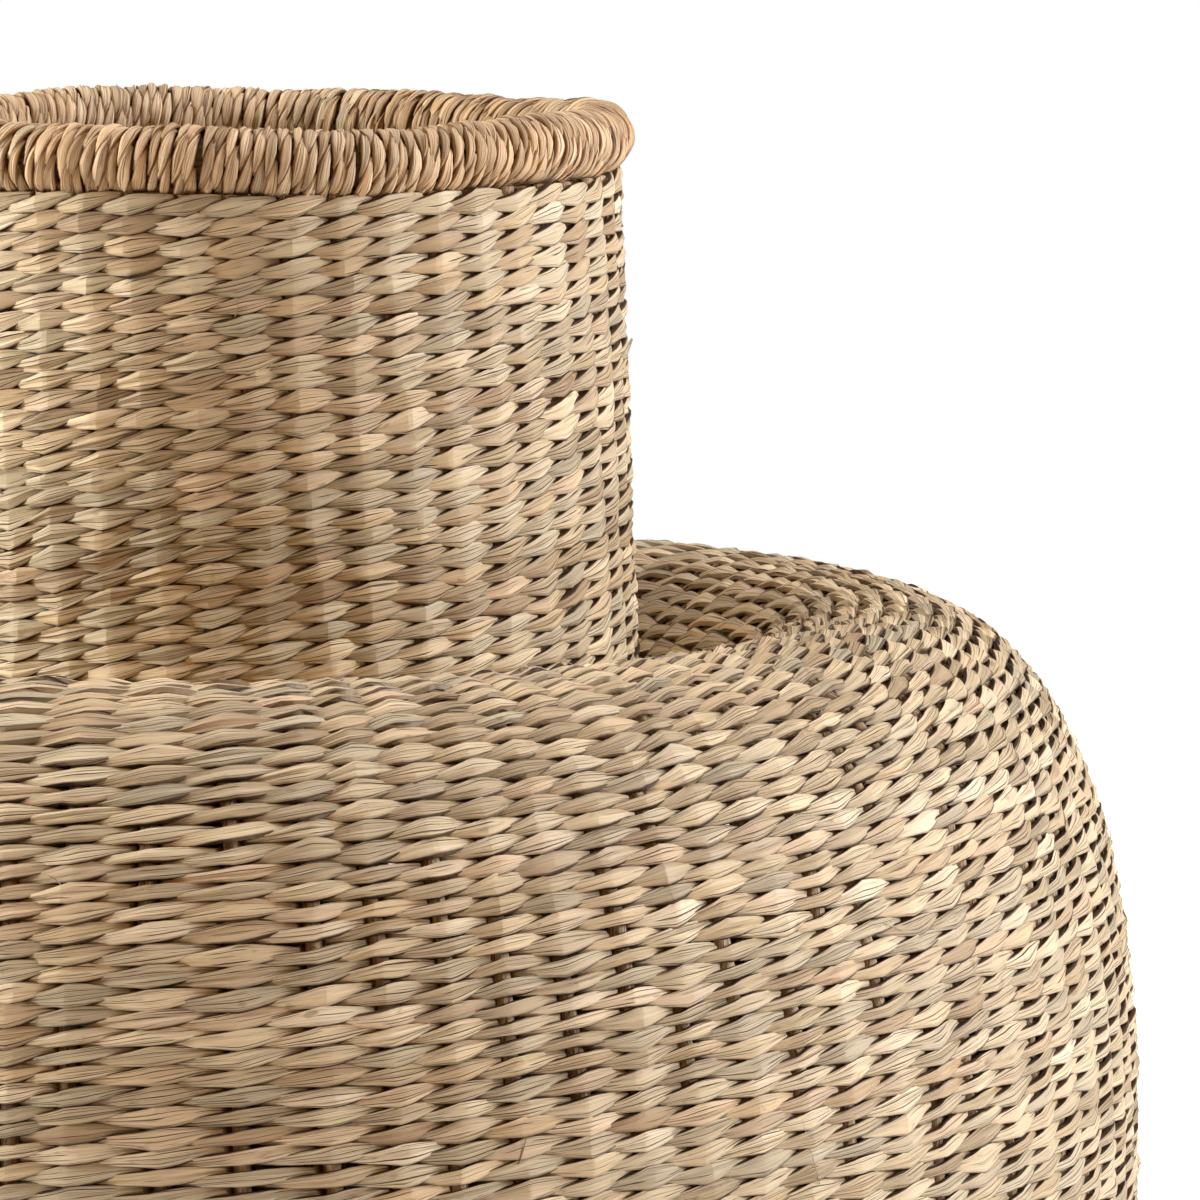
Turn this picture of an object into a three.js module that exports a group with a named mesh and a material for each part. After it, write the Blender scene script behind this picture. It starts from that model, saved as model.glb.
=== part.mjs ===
// Woven vase: flat seagrass strands twined over cord stakes, with a lashed rim.
// Millimetres, +Z up, origin at the middle of the base on the floor.
import * as THREE from "three";

// Outer shape of the wall
const baseRadius = 140;
const bellyRadius = 241;
const bellyHeight = 201;
const crestRadius = 167.5;
const crestHeight = 350;
const valleyHeight = 315;
const valleyBendRadius = 5;
const dishSlopeDegrees = 42;
const neckFootRadius = 107;
const neckTopRadius = 102;
const totalHeight = 480;

// Roundness of the lower body and of the shoulder: 2 is an ellipse, more is squarer
const lowerFullness = 2.3;
const shoulderFullness = 2.45;

// Layers of the wall, from outside: weft, stakes, weft
const weftThickness = 2.4;
const stakeThickness = 3.6;
const stakeWidth = 4;
const clearance = 0.3;

// Base: the stakes run parallel through a square cross and then fan out
const crossRampStart = 42;
const crossRampEnd = 64;

// Rim: a hoop on top of the neck, wrapped by one cord
const rollDiameter = 16.7;
const rollInset = 7;
const lashingThickness = 2.6;
const lashingWidth = 4.2;

// Counts
const stakesPerGroup = 12;
const armsOfCross = 4;
const lashingTurns = 64;
const lashingSteps = 8;
const lowerSteps = 6;
const shoulderSteps = 6;
const dishSteps = 2;
const valleySteps = 2;
const neckSteps = 1;

// Values that follow from the sizes above
const uprightCount = stakesPerGroup * armsOfCross;
const uprightPitch = (2 * Math.PI) / uprightCount;
const innerFacets = uprightCount / 2;
const stakeDepth = weftThickness + clearance;
const innerWeftDepth = stakeDepth + stakeThickness + clearance;
const wallThickness = innerWeftDepth + weftThickness;
const crossPitch = stakeWidth + clearance;
const crossLift = stakeThickness + clearance;
const rollRadius = rollDiameter / 2;
const flatsToCorner = 1 / Math.cos(Math.PI / lashingSteps);
const rollFlat = rollRadius / flatsToCorner;
const rimRingRadius = neckTopRadius - rollInset;
const rimHeight = totalHeight - rollFlat;
const wallTop = rimHeight - rollFlat - clearance;
const dishSlope = THREE.MathUtils.degToRad(dishSlopeDegrees);
// Handle of a Bezier curve that bends like a quarter circle, as a share of the circle's radius
const arcHandle = 0.552;

const seagrass = new THREE.MeshStandardMaterial({ color: 0xd2b78e, roughness: 0.75, metalness: 0 });
const backSeagrass = new THREE.MeshStandardMaterial({ color: 0xb4946a, roughness: 0.8, metalness: 0 });
const stakeCord = new THREE.MeshStandardMaterial({ color: 0x8a6a45, roughness: 0.85, metalness: 0 });
const rimCore = new THREE.MeshStandardMaterial({ color: 0x7a5c3a, roughness: 0.85, metalness: 0 });
const rimCord = new THREE.MeshStandardMaterial({ color: 0xb08a5e, roughness: 0.8, metalness: 0 });

const vase = new THREE.Group();

function addPiece(name, geometry, material) {
  const mesh = new THREE.Mesh(geometry, material);
  mesh.name = name;
  vase.add(mesh);
  return mesh;
}

// A quarter of a superellipse from a point with a level tangent to a point with an upright one
function superellipseQuarter(level, upright, fullness, steps) {
  const points = [];
  for (let i = 0; i <= steps; i += 1) {
    const turn = ((Math.PI / 2) * i) / steps;
    const across = i === 0 ? 0 : Math.sin(turn) ** (2 / fullness);
    const along = i === steps ? 0 : Math.cos(turn) ** (2 / fullness);
    points.push(
      new THREE.Vector2(
        level.x + (upright.x - level.x) * across,
        upright.y + (level.y - upright.y) * along,
      ),
    );
  }
  return points;
}

// The outside of the wall from the edge of the base up over the crest, into the dish and up the neck.
// x is the radius and y the height. Each stretch starts with the last point of the one before.
function wallStretches() {
  const baseEdge = new THREE.Vector2(baseRadius, 0);
  const belly = new THREE.Vector2(bellyRadius, bellyHeight);
  const crest = new THREE.Vector2(crestRadius, crestHeight);
  const lower = superellipseQuarter(baseEdge, belly, lowerFullness, lowerSteps);
  const shoulder = superellipseQuarter(crest, belly, shoulderFullness, shoulderSteps).reverse();

  const bendCentre = new THREE.Vector2(
    neckFootRadius + valleyBendRadius,
    valleyHeight + valleyBendRadius,
  );
  const bendPoint = (angle) =>
    new THREE.Vector2(
      bendCentre.x + valleyBendRadius * Math.sin(angle),
      bendCentre.y - valleyBendRadius * Math.cos(angle),
    );
  const dishFoot = bendPoint(dishSlope);
  const dishRun = (crestRadius - dishFoot.x) * arcHandle;
  const dish = new THREE.CubicBezierCurve(
    crest,
    new THREE.Vector2(crest.x - dishRun, crest.y),
    new THREE.Vector2(
      dishFoot.x + (crest.y - dishFoot.y) * arcHandle * Math.cos(dishSlope),
      dishFoot.y + (crest.y - dishFoot.y) * arcHandle * Math.sin(dishSlope),
    ),
    dishFoot,
  ).getPoints(dishSteps);

  const valley = [];
  for (let i = 0; i <= valleySteps; i += 1) {
    const share = i / valleySteps;
    valley.push(bendPoint(dishSlope + (-Math.PI / 2 - dishSlope) * share));
  }
  const neck = [];
  for (let i = 0; i <= neckSteps; i += 1) {
    const share = i / neckSteps;
    neck.push(
      new THREE.Vector2(
        THREE.MathUtils.lerp(neckFootRadius, neckTopRadius, share),
        THREE.MathUtils.lerp(bendCentre.y, wallTop, share),
      ),
    );
  }
  return { baseEdge, lower, shoulder, dish, valley, neck };
}

// Direction in which a layer at some depth lies below an outline point, long enough that the layer's
// sides stay parallel to the outline on both sides of the point
function inwardMitres(outline) {
  return outline.map((point, i) => {
    const before = outline[Math.max(i - 1, 0)];
    const after = outline[Math.min(i + 1, outline.length - 1)];
    const arriving = (i === 0 ? after.clone().sub(point) : point.clone().sub(before)).normalize();
    const leaving = (after === point ? arriving.clone() : after.clone().sub(point)).normalize();
    const bisector = arriving.clone().add(leaving).normalize();
    const inward = new THREE.Vector2(-bisector.y, bisector.x);
    return inward.divideScalar(bisector.dot(leaving));
  });
}

const stretches = wallStretches();
const outline = [
  new THREE.Vector2(0, 0),
  stretches.baseEdge,
  ...stretches.lower.slice(1),
  ...stretches.shoulder.slice(1),
  ...stretches.dish.slice(1),
  ...stretches.valley.slice(1),
  ...stretches.neck.slice(1),
];
const mitres = inwardMitres(outline);
const firstWallPoint = outline.indexOf(stretches.baseEdge);
const lastWallPoint = outline.length - 1;

function layerPoint(index, depth) {
  return outline[index].clone().addScaledVector(mitres[index], depth);
}

// Revolves a closed profile of radius and height about the vase's axis, with corners over stakes
function revolve(profile, facets) {
  const closed = profile[0].x === 0 ? profile : [...profile, profile[0]];
  const geometry = new THREE.LatheGeometry(closed, facets, uprightPitch / 2, 2 * Math.PI);
  return geometry.rotateX(Math.PI / 2);
}

// Widens a ring of flat facets where its outer face looks towards the axis, so that the middle of each
// facet keeps clear of the stakes there as its corners do elsewhere
function facetReach(index, facets) {
  return mitres[index].x > 0 ? 1 / Math.cos(Math.PI / facets) : 1;
}

// A ring of weft between two outline points, drawn back a little at each end from the next ring
function weftRing(first, last, depth, facets) {
  const outer = [];
  const inner = [];
  for (let i = first; i <= last; i += 1) {
    const shift = new THREE.Vector2();
    if (i === first) shift.subVectors(outline[i + 1], outline[i]).setLength(clearance / 2);
    if (i === last) shift.subVectors(outline[i - 1], outline[i]).setLength(clearance / 2);
    for (const [face, below] of [[outer, 0], [inner, weftThickness]]) {
      const point = layerPoint(i, depth + below).add(shift);
      face.push(point.setX(point.x * facetReach(i, facets)));
    }
  }
  return revolve([...outer, ...inner.reverse()], facets);
}

// Weft of the wall, in bands from the heel to the neck
const heelEnd = firstWallPoint + Math.ceil(lowerSteps / 2);
const lowerEnd = firstWallPoint + lowerSteps;
const upperEnd = lowerEnd + Math.ceil(shoulderSteps / 2);
const shoulderEnd = lowerEnd + shoulderSteps;
const dishEnd = shoulderEnd + dishSteps;
const bands = [
  { name: "heel", first: firstWallPoint, last: heelEnd },
  { name: "lower_wall", first: heelEnd, last: lowerEnd },
  { name: "upper_wall", first: lowerEnd, last: upperEnd },
  { name: "shoulder", first: upperEnd, last: shoulderEnd },
  { name: "dish", first: shoulderEnd, last: dishEnd },
  { name: "neck", first: dishEnd, last: lastWallPoint },
];
for (const { name, first, last } of bands) {
  addPiece(`${name}_outer_weft`, weftRing(first, last, 0, uprightCount), seagrass);
  addPiece(`${name}_inner_weft`, weftRing(first, last, innerWeftDepth, innerFacets), backSeagrass);
}

// Weft of the base: a flat sheet under the stakes and one over them, raised over the cross
function addBase() {
  const seam = new THREE.Vector2(-clearance / 2, 0);
  const edge = (depth) => layerPoint(firstWallPoint, depth).add(seam);
  const under = [
    new THREE.Vector2(0, 0),
    edge(0),
    edge(weftThickness),
    new THREE.Vector2(0, weftThickness),
  ];
  const raised = (depth) => [
    new THREE.Vector2(0, depth + crossLift),
    new THREE.Vector2(crossRampStart, depth + crossLift),
    new THREE.Vector2(crossRampEnd, depth),
    edge(depth),
  ];
  const over = [...raised(innerWeftDepth), ...raised(wallThickness).reverse()];
  addPiece("base_under_weft", revolve(under, uprightCount), seagrass);
  addPiece("base_upper_weft", revolve(over, innerFacets), backSeagrass);
}
addBase();

// A closed tube through rings of corners, each ring with its corners in the same order
function tubeThroughRings(rings) {
  const sides = rings[0].length;
  const positions = rings.flat().flatMap((corner) => corner.toArray());
  const faces = [];
  for (let ring = 0; ring < rings.length - 1; ring += 1) {
    for (let side = 0; side < sides; side += 1) {
      const a = ring * sides + side;
      const b = ring * sides + ((side + 1) % sides);
      faces.push(a, b, b + sides, a, b + sides, a + sides);
    }
  }
  const end = (rings.length - 1) * sides;
  for (let side = 1; side < sides - 1; side += 1) {
    faces.push(0, side + 1, side);
    faces.push(end, end + side, end + side + 1);
  }
  const geometry = new THREE.BufferGeometry();
  geometry.setAttribute("position", new THREE.Float32BufferAttribute(positions, 3));
  geometry.setIndex(faces);
  geometry.computeVertexNormals();
  return geometry;
}

// Four corners of a stake: the near and far side across it, at the outer and the inner face
function stakeRing(centre, across, outerShift, innerShift) {
  const near = across.clone().multiplyScalar(-stakeWidth / 2);
  const far = across.clone().multiplyScalar(stakeWidth / 2);
  return [
    centre.clone().add(outerShift).add(far),
    centre.clone().add(outerShift).add(near),
    centre.clone().add(innerShift).add(near),
    centre.clone().add(innerShift).add(far),
  ];
}

// Half of a stake, from the top of the neck down the wall to its bend at the cross. Its place is counted
// from the middle of its group, and the raised group passes over the other one.
function stakeArm(place, raised) {
  const angle = place * uprightPitch;
  const radial = new THREE.Vector3(Math.cos(angle), Math.sin(angle), 0);
  const tangential = new THREE.Vector3(-Math.sin(angle), Math.cos(angle), 0);
  const up = new THREE.Vector3(0, 0, 1);
  const lift = raised ? crossLift : 0;
  const rings = [];
  const origin = new THREE.Vector3();
  const spaceShift = (point) => radial.clone().multiplyScalar(point.x).addScaledVector(up, point.y);
  for (let i = lastWallPoint; i >= firstWallPoint; i -= 1) {
    const outer = spaceShift(layerPoint(i, stakeDepth));
    const inner = spaceShift(layerPoint(i, stakeDepth + stakeThickness));
    rings.push(stakeRing(origin, tangential, outer, inner));
  }
  const outerLevel = (height) => up.clone().multiplyScalar(stakeDepth + height);
  const innerLevel = (height) => up.clone().multiplyScalar(stakeDepth + stakeThickness + height);
  const flatRing = (centre, across, height) =>
    stakeRing(centre, across, outerLevel(height), innerLevel(height));
  rings.push(flatRing(radial.clone().multiplyScalar(crossRampEnd), tangential, 0));
  rings.push(flatRing(radial.clone().multiplyScalar(crossRampStart), tangential, lift));

  const offset = place * crossPitch;
  const bend = new THREE.Vector3(offset / Math.tan(angle), offset, 0);
  const bisector = new THREE.Vector3(-Math.sin(angle / 2), Math.cos(angle / 2), 0);
  rings.push(flatRing(bend, bisector.divideScalar(Math.cos(angle / 2)), lift));
  return rings;
}

function mirrored(ring) {
  return ring.map((corner) => new THREE.Vector3(-corner.x, corner.y, corner.z));
}

// Stakes: each runs from the rim down the wall, through the cross and up the other side
const groups = [
  { name: "stake_under", turn: 0, raised: false },
  { name: "stake_over", turn: Math.PI / 2, raised: true },
];
for (const group of groups) {
  for (let i = 0; i < stakesPerGroup; i += 1) {
    const place = i - (stakesPerGroup - 1) / 2;
    const arm = stakeArm(place, group.raised);
    const otherArm = arm.map(mirrored).reverse();
    const number = String(i + 1).padStart(2, "0");
    const stake = addPiece(`${group.name}_${number}`, tubeThroughRings([...arm, ...otherArm]), stakeCord);
    stake.rotation.z = group.turn;
  }
}

// Rim hoop: an eight-sided roll whose flats lie under those of the lashing
const hoopFlat = rollFlat - lashingThickness - clearance;
const rollAngle = (step) => (2 * Math.PI * (step + 0.5)) / lashingSteps;

function addHoop() {
  const section = [];
  for (let step = 0; step < lashingSteps; step += 1) {
    const corner = hoopFlat * flatsToCorner;
    section.push(
      new THREE.Vector2(
        rimRingRadius + corner * Math.cos(rollAngle(step)),
        rimHeight + corner * Math.sin(rollAngle(step)),
      ),
    );
  }
  addPiece("rim_hoop", revolve(section, uprightCount), rimCore);
}
addHoop();

// Rim lashing: one flat cord wound round the hoop, all the way round the mouth
function lashingPoint(step, depth, sideways) {
  const share = step / (lashingSteps * lashingTurns);
  const round = 2 * Math.PI * share;
  const corner = rollRadius - depth * flatsToCorner;
  const radius = rimRingRadius + corner * Math.cos(rollAngle(step));
  const height = rimHeight + corner * Math.sin(rollAngle(step));
  return new THREE.Vector3(
    radius * Math.cos(round) - sideways * Math.sin(round),
    radius * Math.sin(round) + sideways * Math.cos(round),
    height,
  );
}

function lashingRings() {
  const rings = [];
  // The last turn stops a full turn short of the first, so that the two ends lie apart
  const lastStep = lashingSteps * (lashingTurns - 1);
  for (let step = 0; step <= lastStep; step += 1) {
    rings.push([
      lashingPoint(step, 0, -lashingWidth / 2),
      lashingPoint(step, 0, lashingWidth / 2),
      lashingPoint(step, lashingThickness, lashingWidth / 2),
      lashingPoint(step, lashingThickness, -lashingWidth / 2),
    ]);
  }
  return rings;
}

// Least distance between points of the cord that lie about a turn apart along it
function leastGap(rings) {
  let least = Infinity;
  for (let i = 0; i < rings.length; i += 1) {
    const from = i + lashingSteps / 2;
    const to = Math.min(i + 2 * lashingSteps, rings.length - 1);
    for (let j = from; j <= to; j += 1) {
      for (const a of rings[i]) {
        for (const b of rings[j]) least = Math.min(least, a.distanceTo(b));
      }
    }
  }
  return least;
}

const windings = lashingRings();
addPiece("rim_lashing", tubeThroughRings(windings), rimCord);
console.log(`rim_lashing least gap to itself ${leastGap(windings).toFixed(2)} mm`);

export default vase;
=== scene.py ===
"""Woven vase of twined seagrass: strands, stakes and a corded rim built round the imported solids."""
import logging
import math
from collections.abc import Callable
from dataclasses import dataclass, field
from enum import Enum

import bpy
import numpy as np
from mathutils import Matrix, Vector


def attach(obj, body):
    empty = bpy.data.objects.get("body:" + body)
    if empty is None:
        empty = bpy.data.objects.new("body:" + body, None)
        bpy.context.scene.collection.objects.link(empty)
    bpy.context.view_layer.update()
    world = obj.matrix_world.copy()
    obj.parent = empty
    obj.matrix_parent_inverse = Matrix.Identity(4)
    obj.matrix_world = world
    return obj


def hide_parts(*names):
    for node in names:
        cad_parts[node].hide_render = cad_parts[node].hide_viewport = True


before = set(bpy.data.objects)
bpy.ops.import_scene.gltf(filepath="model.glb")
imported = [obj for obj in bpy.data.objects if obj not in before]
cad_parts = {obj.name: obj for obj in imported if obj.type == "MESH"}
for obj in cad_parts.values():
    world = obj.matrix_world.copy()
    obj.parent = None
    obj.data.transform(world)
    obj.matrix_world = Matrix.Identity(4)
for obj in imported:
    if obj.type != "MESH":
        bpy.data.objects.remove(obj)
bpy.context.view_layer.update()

BODY = "root"
LOG = logging.getLogger("woven_vase")
MM = 0.001
FULL_TURN = 2.0 * math.pi
# Spreads the tones of strands, which go from 0 to 1, over seeds of their grain
GRAIN_SEEDS = 97.0

Array = np.ndarray
Pair = tuple[float, float]
Point = tuple[float, float, float]
Colour = tuple[float, float, float, float]
# Size, number to a full turn and start of each wave
Waves = tuple[tuple[float, float, float], ...]
Socket = bpy.types.NodeSocket
# What a shader socket takes
Entry = Socket | float | Colour
WHITE: Colour = (1.0, 1.0, 1.0, 1.0)


class Band(Enum):
    """Bands of weft, from the middle of the base to the rim."""

    BASE = "base"
    HEEL = "heel"
    LOWER_WALL = "lower_wall"
    UPPER_WALL = "upper_wall"
    SHOULDER = "shoulder"
    DISH = "dish"
    NECK = "neck"


class Strand(Enum):
    """The two strands of a twined pair."""

    FIRST = 0
    SECOND = 1


class Slot(Enum):
    """Material slots of the record."""

    SEAGRASS = "seagrass_strand"
    STAKE = "stake_cord"
    RIM_CORE = "rim_core"
    RIM_CORD = "rim_cord"


def smooth_step(value: Array) -> Array:
    """Eases a value from 0 to 1."""
    held = np.clip(value, 0.0, 1.0)
    return held * held * (3.0 - 2.0 * held)


def ripple(angle: Array, waves: Waves) -> Array:
    """Sum of waves at an angle."""
    return sum(size * np.sin(count * angle + start) for size, count, start in waves)


def way_along(path: Array) -> Array:
    """Length of a path up to each of its points."""
    steps = np.linalg.norm(np.diff(path, axis=0), axis=1)
    return np.concatenate([[0.0], np.cumsum(steps)])


def ring_angles(count: int) -> Array:
    """Angles of the points of a ring."""
    return np.linspace(0.0, FULL_TURN, count, endpoint=False)


def sideways_at(angle: Array) -> Array:
    """Level direction round the axis at an angle."""
    return np.stack([-np.sin(angle), np.cos(angle), np.zeros_like(angle)], -1)


# Meshes


@dataclass
class Tube:
    """A closed tube: a ring of points at each step of a path, with values that its finish follows.

    Attributes:
        rings: Points, one row of them for each step of the path.
        grain: Place across the strand, way along it in millimetres and seed, for each point.
        tone: Tone of the strand, tone of the stitch and how far out it lies, for each point.
        cell_steps: Steps of the path that share one cell of the texture layout.
    """

    rings: Array
    grain: Array
    tone: Array
    cell_steps: int

    def faces(self) -> tuple[Array, Array]:
        """Corner numbers of the side faces and of the two end faces.

        Returns:
            Side faces of four corners each, and two end faces of one corner for each ring point.
        """
        steps, points = self.rings.shape[:2]
        start = np.arange(steps - 1)[:, None] * points
        here = np.arange(points)[None, :]
        after = (here + 1) % points
        sides = np.stack([start + here, start + after, start + points + after, start + points + here], -1)
        sides = sides.reshape(-1, 4)
        ends = np.stack([np.arange(points)[::-1], np.arange(points) + (steps - 1) * points])
        flat = self.rings.reshape(-1, 3) - self.rings.reshape(-1, 3).mean(0)
        corners = flat[sides]
        volume = np.einsum("ij,ij->i", corners[:, 0], np.cross(corners[:, 1], corners[:, 2])).sum()
        if volume < 0:
            return sides[:, ::-1], ends[:, ::-1]
        return sides, ends


def sweep(path: Array, side: Array, face: Array, wide: Array, deep: Array) -> Array:
    """Rings of points round a path.

    Args:
        path: Points of the path.
        side: Direction of the width at each of them.
        face: Direction of the thickness.
        wide: Place along the width of each ring point.
        deep: Place along the thickness.

    Returns:
        Points, one row of them for each step of the path.
    """
    return path[:, None] + side[:, None] * wide[..., None] + face[:, None] * deep[..., None]


def grain_values(rings: Array, *values: Array | float) -> Array:
    """Place across, way along and seed of the grain, spread over all the points of some rings."""
    return np.stack([np.broadcast_to(value, rings.shape[:2]) for value in values], -1)


@dataclass
class TubePiece:
    """One object made of tubes, with the attributes and texture layout that its finish needs.

    Attributes:
        name: Name of the object.
        tubes: Tubes that it holds, all with as many points to a ring.
        smooth: Whether its faces are shaded round, not as flat facets.
        margin: Part of a texture cell that stays free on each side.
    """

    name: str
    tubes: list[Tube]
    smooth: bool = True
    margin: float = 0.03

    def layout(self, tube: Tube, first_cell: int, columns: int, flipped: bool) -> Array:
        """Texture coordinates of a tube's side faces, cell by cell.

        Args:
            tube: Tube to lay out.
            first_cell: Number of its first cell.
            columns: Cells in a row of the layout.
            flipped: Whether the side faces run backwards.

        Returns:
            Coordinates, four pairs to a face.
        """
        steps, points = tube.rings.shape[:2]
        step = np.repeat(np.arange(steps - 1), points)
        side = np.tile(np.arange(points), steps - 1)
        cell = first_cell + step // tube.cell_steps
        span = 1.0 - 2.0 * self.margin
        low_u = self.margin + span * (step % tube.cell_steps) / tube.cell_steps
        low_v = self.margin + span * side / points
        high_u = low_u + span / tube.cell_steps
        high_v = low_v + span / points
        corners = [(low_u, low_v), (low_u, high_v), (high_u, high_v), (high_u, low_v)]
        if flipped:
            corners.reverse()
        column = cell % columns
        row = cell // columns
        pairs = [np.stack([(column + u) / columns, (row + v) / columns], -1) for u, v in corners]
        return np.stack(pairs, 1).reshape(-1, 2)

    def build(self) -> bpy.types.Object:
        """Makes the mesh object and links it to the scene.

        Returns:
            The new object.
        """
        cells = [math.ceil((t.rings.shape[0] - 1) / t.cell_steps) for t in self.tubes]
        columns = math.ceil(math.sqrt(sum(cells)))
        points, loops, starts, coords = [], [], [], []
        offset = loop_count = cell = 0
        for tube, count in zip(self.tubes, cells):
            sides, ends = tube.faces()
            per_ring = tube.rings.shape[1]
            flipped = bool(sides[0, 0] > sides[0, -1])
            points.append(tube.rings.reshape(-1, 3))
            loops += [(sides + offset).ravel(), (ends + offset).ravel()]
            starts.append(loop_count + 4 * np.arange(len(sides)))
            loop_count += sides.size
            starts.append(loop_count + per_ring * np.arange(2))
            loop_count += ends.size
            coords.append(self.layout(tube, cell, columns, flipped))
            coords.append(np.full((ends.size, 2), (cell % columns) / columns))
            offset += points[-1].shape[0]
            cell += count
        mesh = bpy.data.meshes.new(self.name)
        mesh.vertices.add(offset)
        mesh.vertices.foreach_set("co", np.concatenate(points).astype(np.float32).ravel())
        mesh.loops.add(loop_count)
        mesh.loops.foreach_set("vertex_index", np.concatenate(loops).astype(np.int32))
        face_starts = np.concatenate(starts).astype(np.int32)
        mesh.polygons.add(len(face_starts))
        mesh.polygons.foreach_set("loop_start", face_starts)
        mesh.update(calc_edges=True)
        mesh.polygons.foreach_set("use_smooth", np.full(len(face_starts), self.smooth))
        uv_layer = mesh.uv_layers.new(name="OFBake")
        uv_layer.data.foreach_set("uv", np.concatenate(coords).astype(np.float32).ravel())
        for attribute in ("grain", "tone"):
            values = np.concatenate([getattr(t, attribute).reshape(-1, 3) for t in self.tubes])
            layer = mesh.attributes.new(attribute, "FLOAT_VECTOR", "POINT")
            layer.data.foreach_set("vector", values.astype(np.float32).ravel())
        piece = bpy.data.objects.new(self.name, mesh)
        bpy.context.scene.collection.objects.link(piece)
        return piece


def dress(piece: bpy.types.Object, material: bpy.types.Material, slot: Slot, nodes: list[str]) -> None:
    """Gives a piece its material, its body and the solids that it stands for.

    Args:
        piece: Object to dress.
        material: Its material.
        slot: Material slot of the record; not used.
        nodes: Names of the solids that it replaces.
    """
    piece.data.materials.append(material)
    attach(piece, BODY)
    if nodes:
        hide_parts(*nodes)
    LOG.info("%s: %d faces", piece.name, len(piece.data.polygons))


# Shape of the wall


@dataclass(frozen=True)
class WallProfile:
    """Middle surface of the woven wall, where the stakes run, from the middle of the base to the rim.

    Sizes are those of the wall's outer face, in metres.
    """

    base_radius: float = 0.140
    belly_radius: float = 0.241
    belly_height: float = 0.201
    crest_radius: float = 0.1675
    crest_height: float = 0.350
    valley_height: float = 0.315
    valley_bend: float = 0.005
    dish_slope: float = math.radians(42.0)
    neck_foot_radius: float = 0.107
    neck_top_radius: float = 0.102
    neck_top_height: float = 0.4643
    lower_fullness: float = 2.3
    shoulder_fullness: float = 2.45
    depth: float = 0.0045
    arc_handle: float = 0.552
    heel_turn: float = math.pi / 4
    shoulder_turn: float = math.pi / 4
    samples: int = 160
    arc: Array = field(init=False)
    radius: Array = field(init=False)
    height: Array = field(init=False)
    out_radius: Array = field(init=False)
    out_height: Array = field(init=False)
    ends: dict[Band, float] = field(init=False)

    def __post_init__(self) -> None:
        """Works out the middle surface and where each band of it ends."""
        outline, marks = self.outline()
        way = np.gradient(outline, axis=0)
        way /= np.linalg.norm(way, axis=1)[:, None]
        outward = np.stack([way[:, 1], -way[:, 0]], 1)
        middle = outline - outward * self.depth
        arc = way_along(middle)
        for name, value in {
            "arc": arc,
            "radius": middle[:, 0],
            "height": middle[:, 1],
            "out_radius": outward[:, 0],
            "out_height": outward[:, 1],
            "ends": {band: float(arc[index]) for band, index in marks.items()},
        }.items():
            object.__setattr__(self, name, value)

    def quarter(self, level: Pair, upright: Pair, fullness: float) -> Array:
        """A quarter of a superellipse.

        Args:
            level: Radius and height of the end with a level tangent.
            upright: Radius and height of the end with an upright tangent.
            fullness: Exponent, 2 for an ellipse and more for a squarer curve.

        Returns:
            Points from the level end to the upright end.
        """
        turn = np.linspace(0.0, math.pi / 2, self.samples)
        across = np.sin(turn) ** (2.0 / fullness)
        along = np.clip(np.cos(turn), 0.0, 1.0) ** (2.0 / fullness)
        radius = level[0] + (upright[0] - level[0]) * across
        height = upright[1] + (level[1] - upright[1]) * along
        return np.stack([radius, height], 1)

    def outline(self) -> tuple[Array, dict[Band, int]]:
        """Outer face of the wall in radius and height.

        Returns:
            Points from the axis to the top of the neck, and the point where each band ends.
        """
        belly = (self.belly_radius, self.belly_height)
        crest = np.array([self.crest_radius, self.crest_height])
        base = np.stack([np.linspace(0.0, self.base_radius, self.samples), np.zeros(self.samples)], 1)
        lower = self.quarter((self.base_radius, 0.0), belly, self.lower_fullness)
        shoulder = self.quarter(tuple(crest), belly, self.shoulder_fullness)[::-1]
        bend_at = np.array([self.neck_foot_radius, self.valley_height]) + self.valley_bend
        turn = np.linspace(self.dish_slope, -math.pi / 2, self.samples // 4)[:, None]
        valley = bend_at + self.valley_bend * np.concatenate([np.sin(turn), -np.cos(turn)], 1)
        foot = valley[0]
        slope = np.array([math.cos(self.dish_slope), math.sin(self.dish_slope)])
        near_crest = crest - np.array([(crest[0] - foot[0]) * self.arc_handle, 0.0])
        near_foot = foot + slope * (crest[1] - foot[1]) * self.arc_handle
        share = np.linspace(0.0, 1.0, self.samples // 2)[:, None]
        rest = 1.0 - share
        dish = rest**3 * crest + 3 * rest**2 * share * near_crest + 3 * rest * share**2 * near_foot
        dish = dish + share**3 * foot
        top = np.array([self.neck_top_radius, self.neck_top_height])
        neck = valley[-1] + (top - valley[-1]) * np.linspace(0.0, 1.0, self.samples)[:, None]
        stretches = [base, lower, shoulder, dish, valley, neck]
        points = np.concatenate([stretches[0]] + [s[1:] for s in stretches[1:]])
        last = np.cumsum([len(base)] + [len(s) - 1 for s in stretches[1:]]) - 1
        share_of_quarter = (self.samples - 1) / (math.pi / 2)
        marks = {
            Band.BASE: last[0],
            Band.HEEL: last[0] + round(self.heel_turn * share_of_quarter),
            Band.LOWER_WALL: last[1],
            Band.UPPER_WALL: last[2] - round(self.shoulder_turn * share_of_quarter),
            Band.SHOULDER: last[2],
            Band.DISH: last[3],
            Band.NECK: last[5],
        }
        return points, marks

    def at(self, arc: Array) -> tuple[Array, ...]:
        """Radius, height and both parts of the outward direction at a way along the middle surface."""
        known = (self.radius, self.height, self.out_radius, self.out_height)
        return tuple(np.interp(arc, self.arc, values) for values in known)

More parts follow.
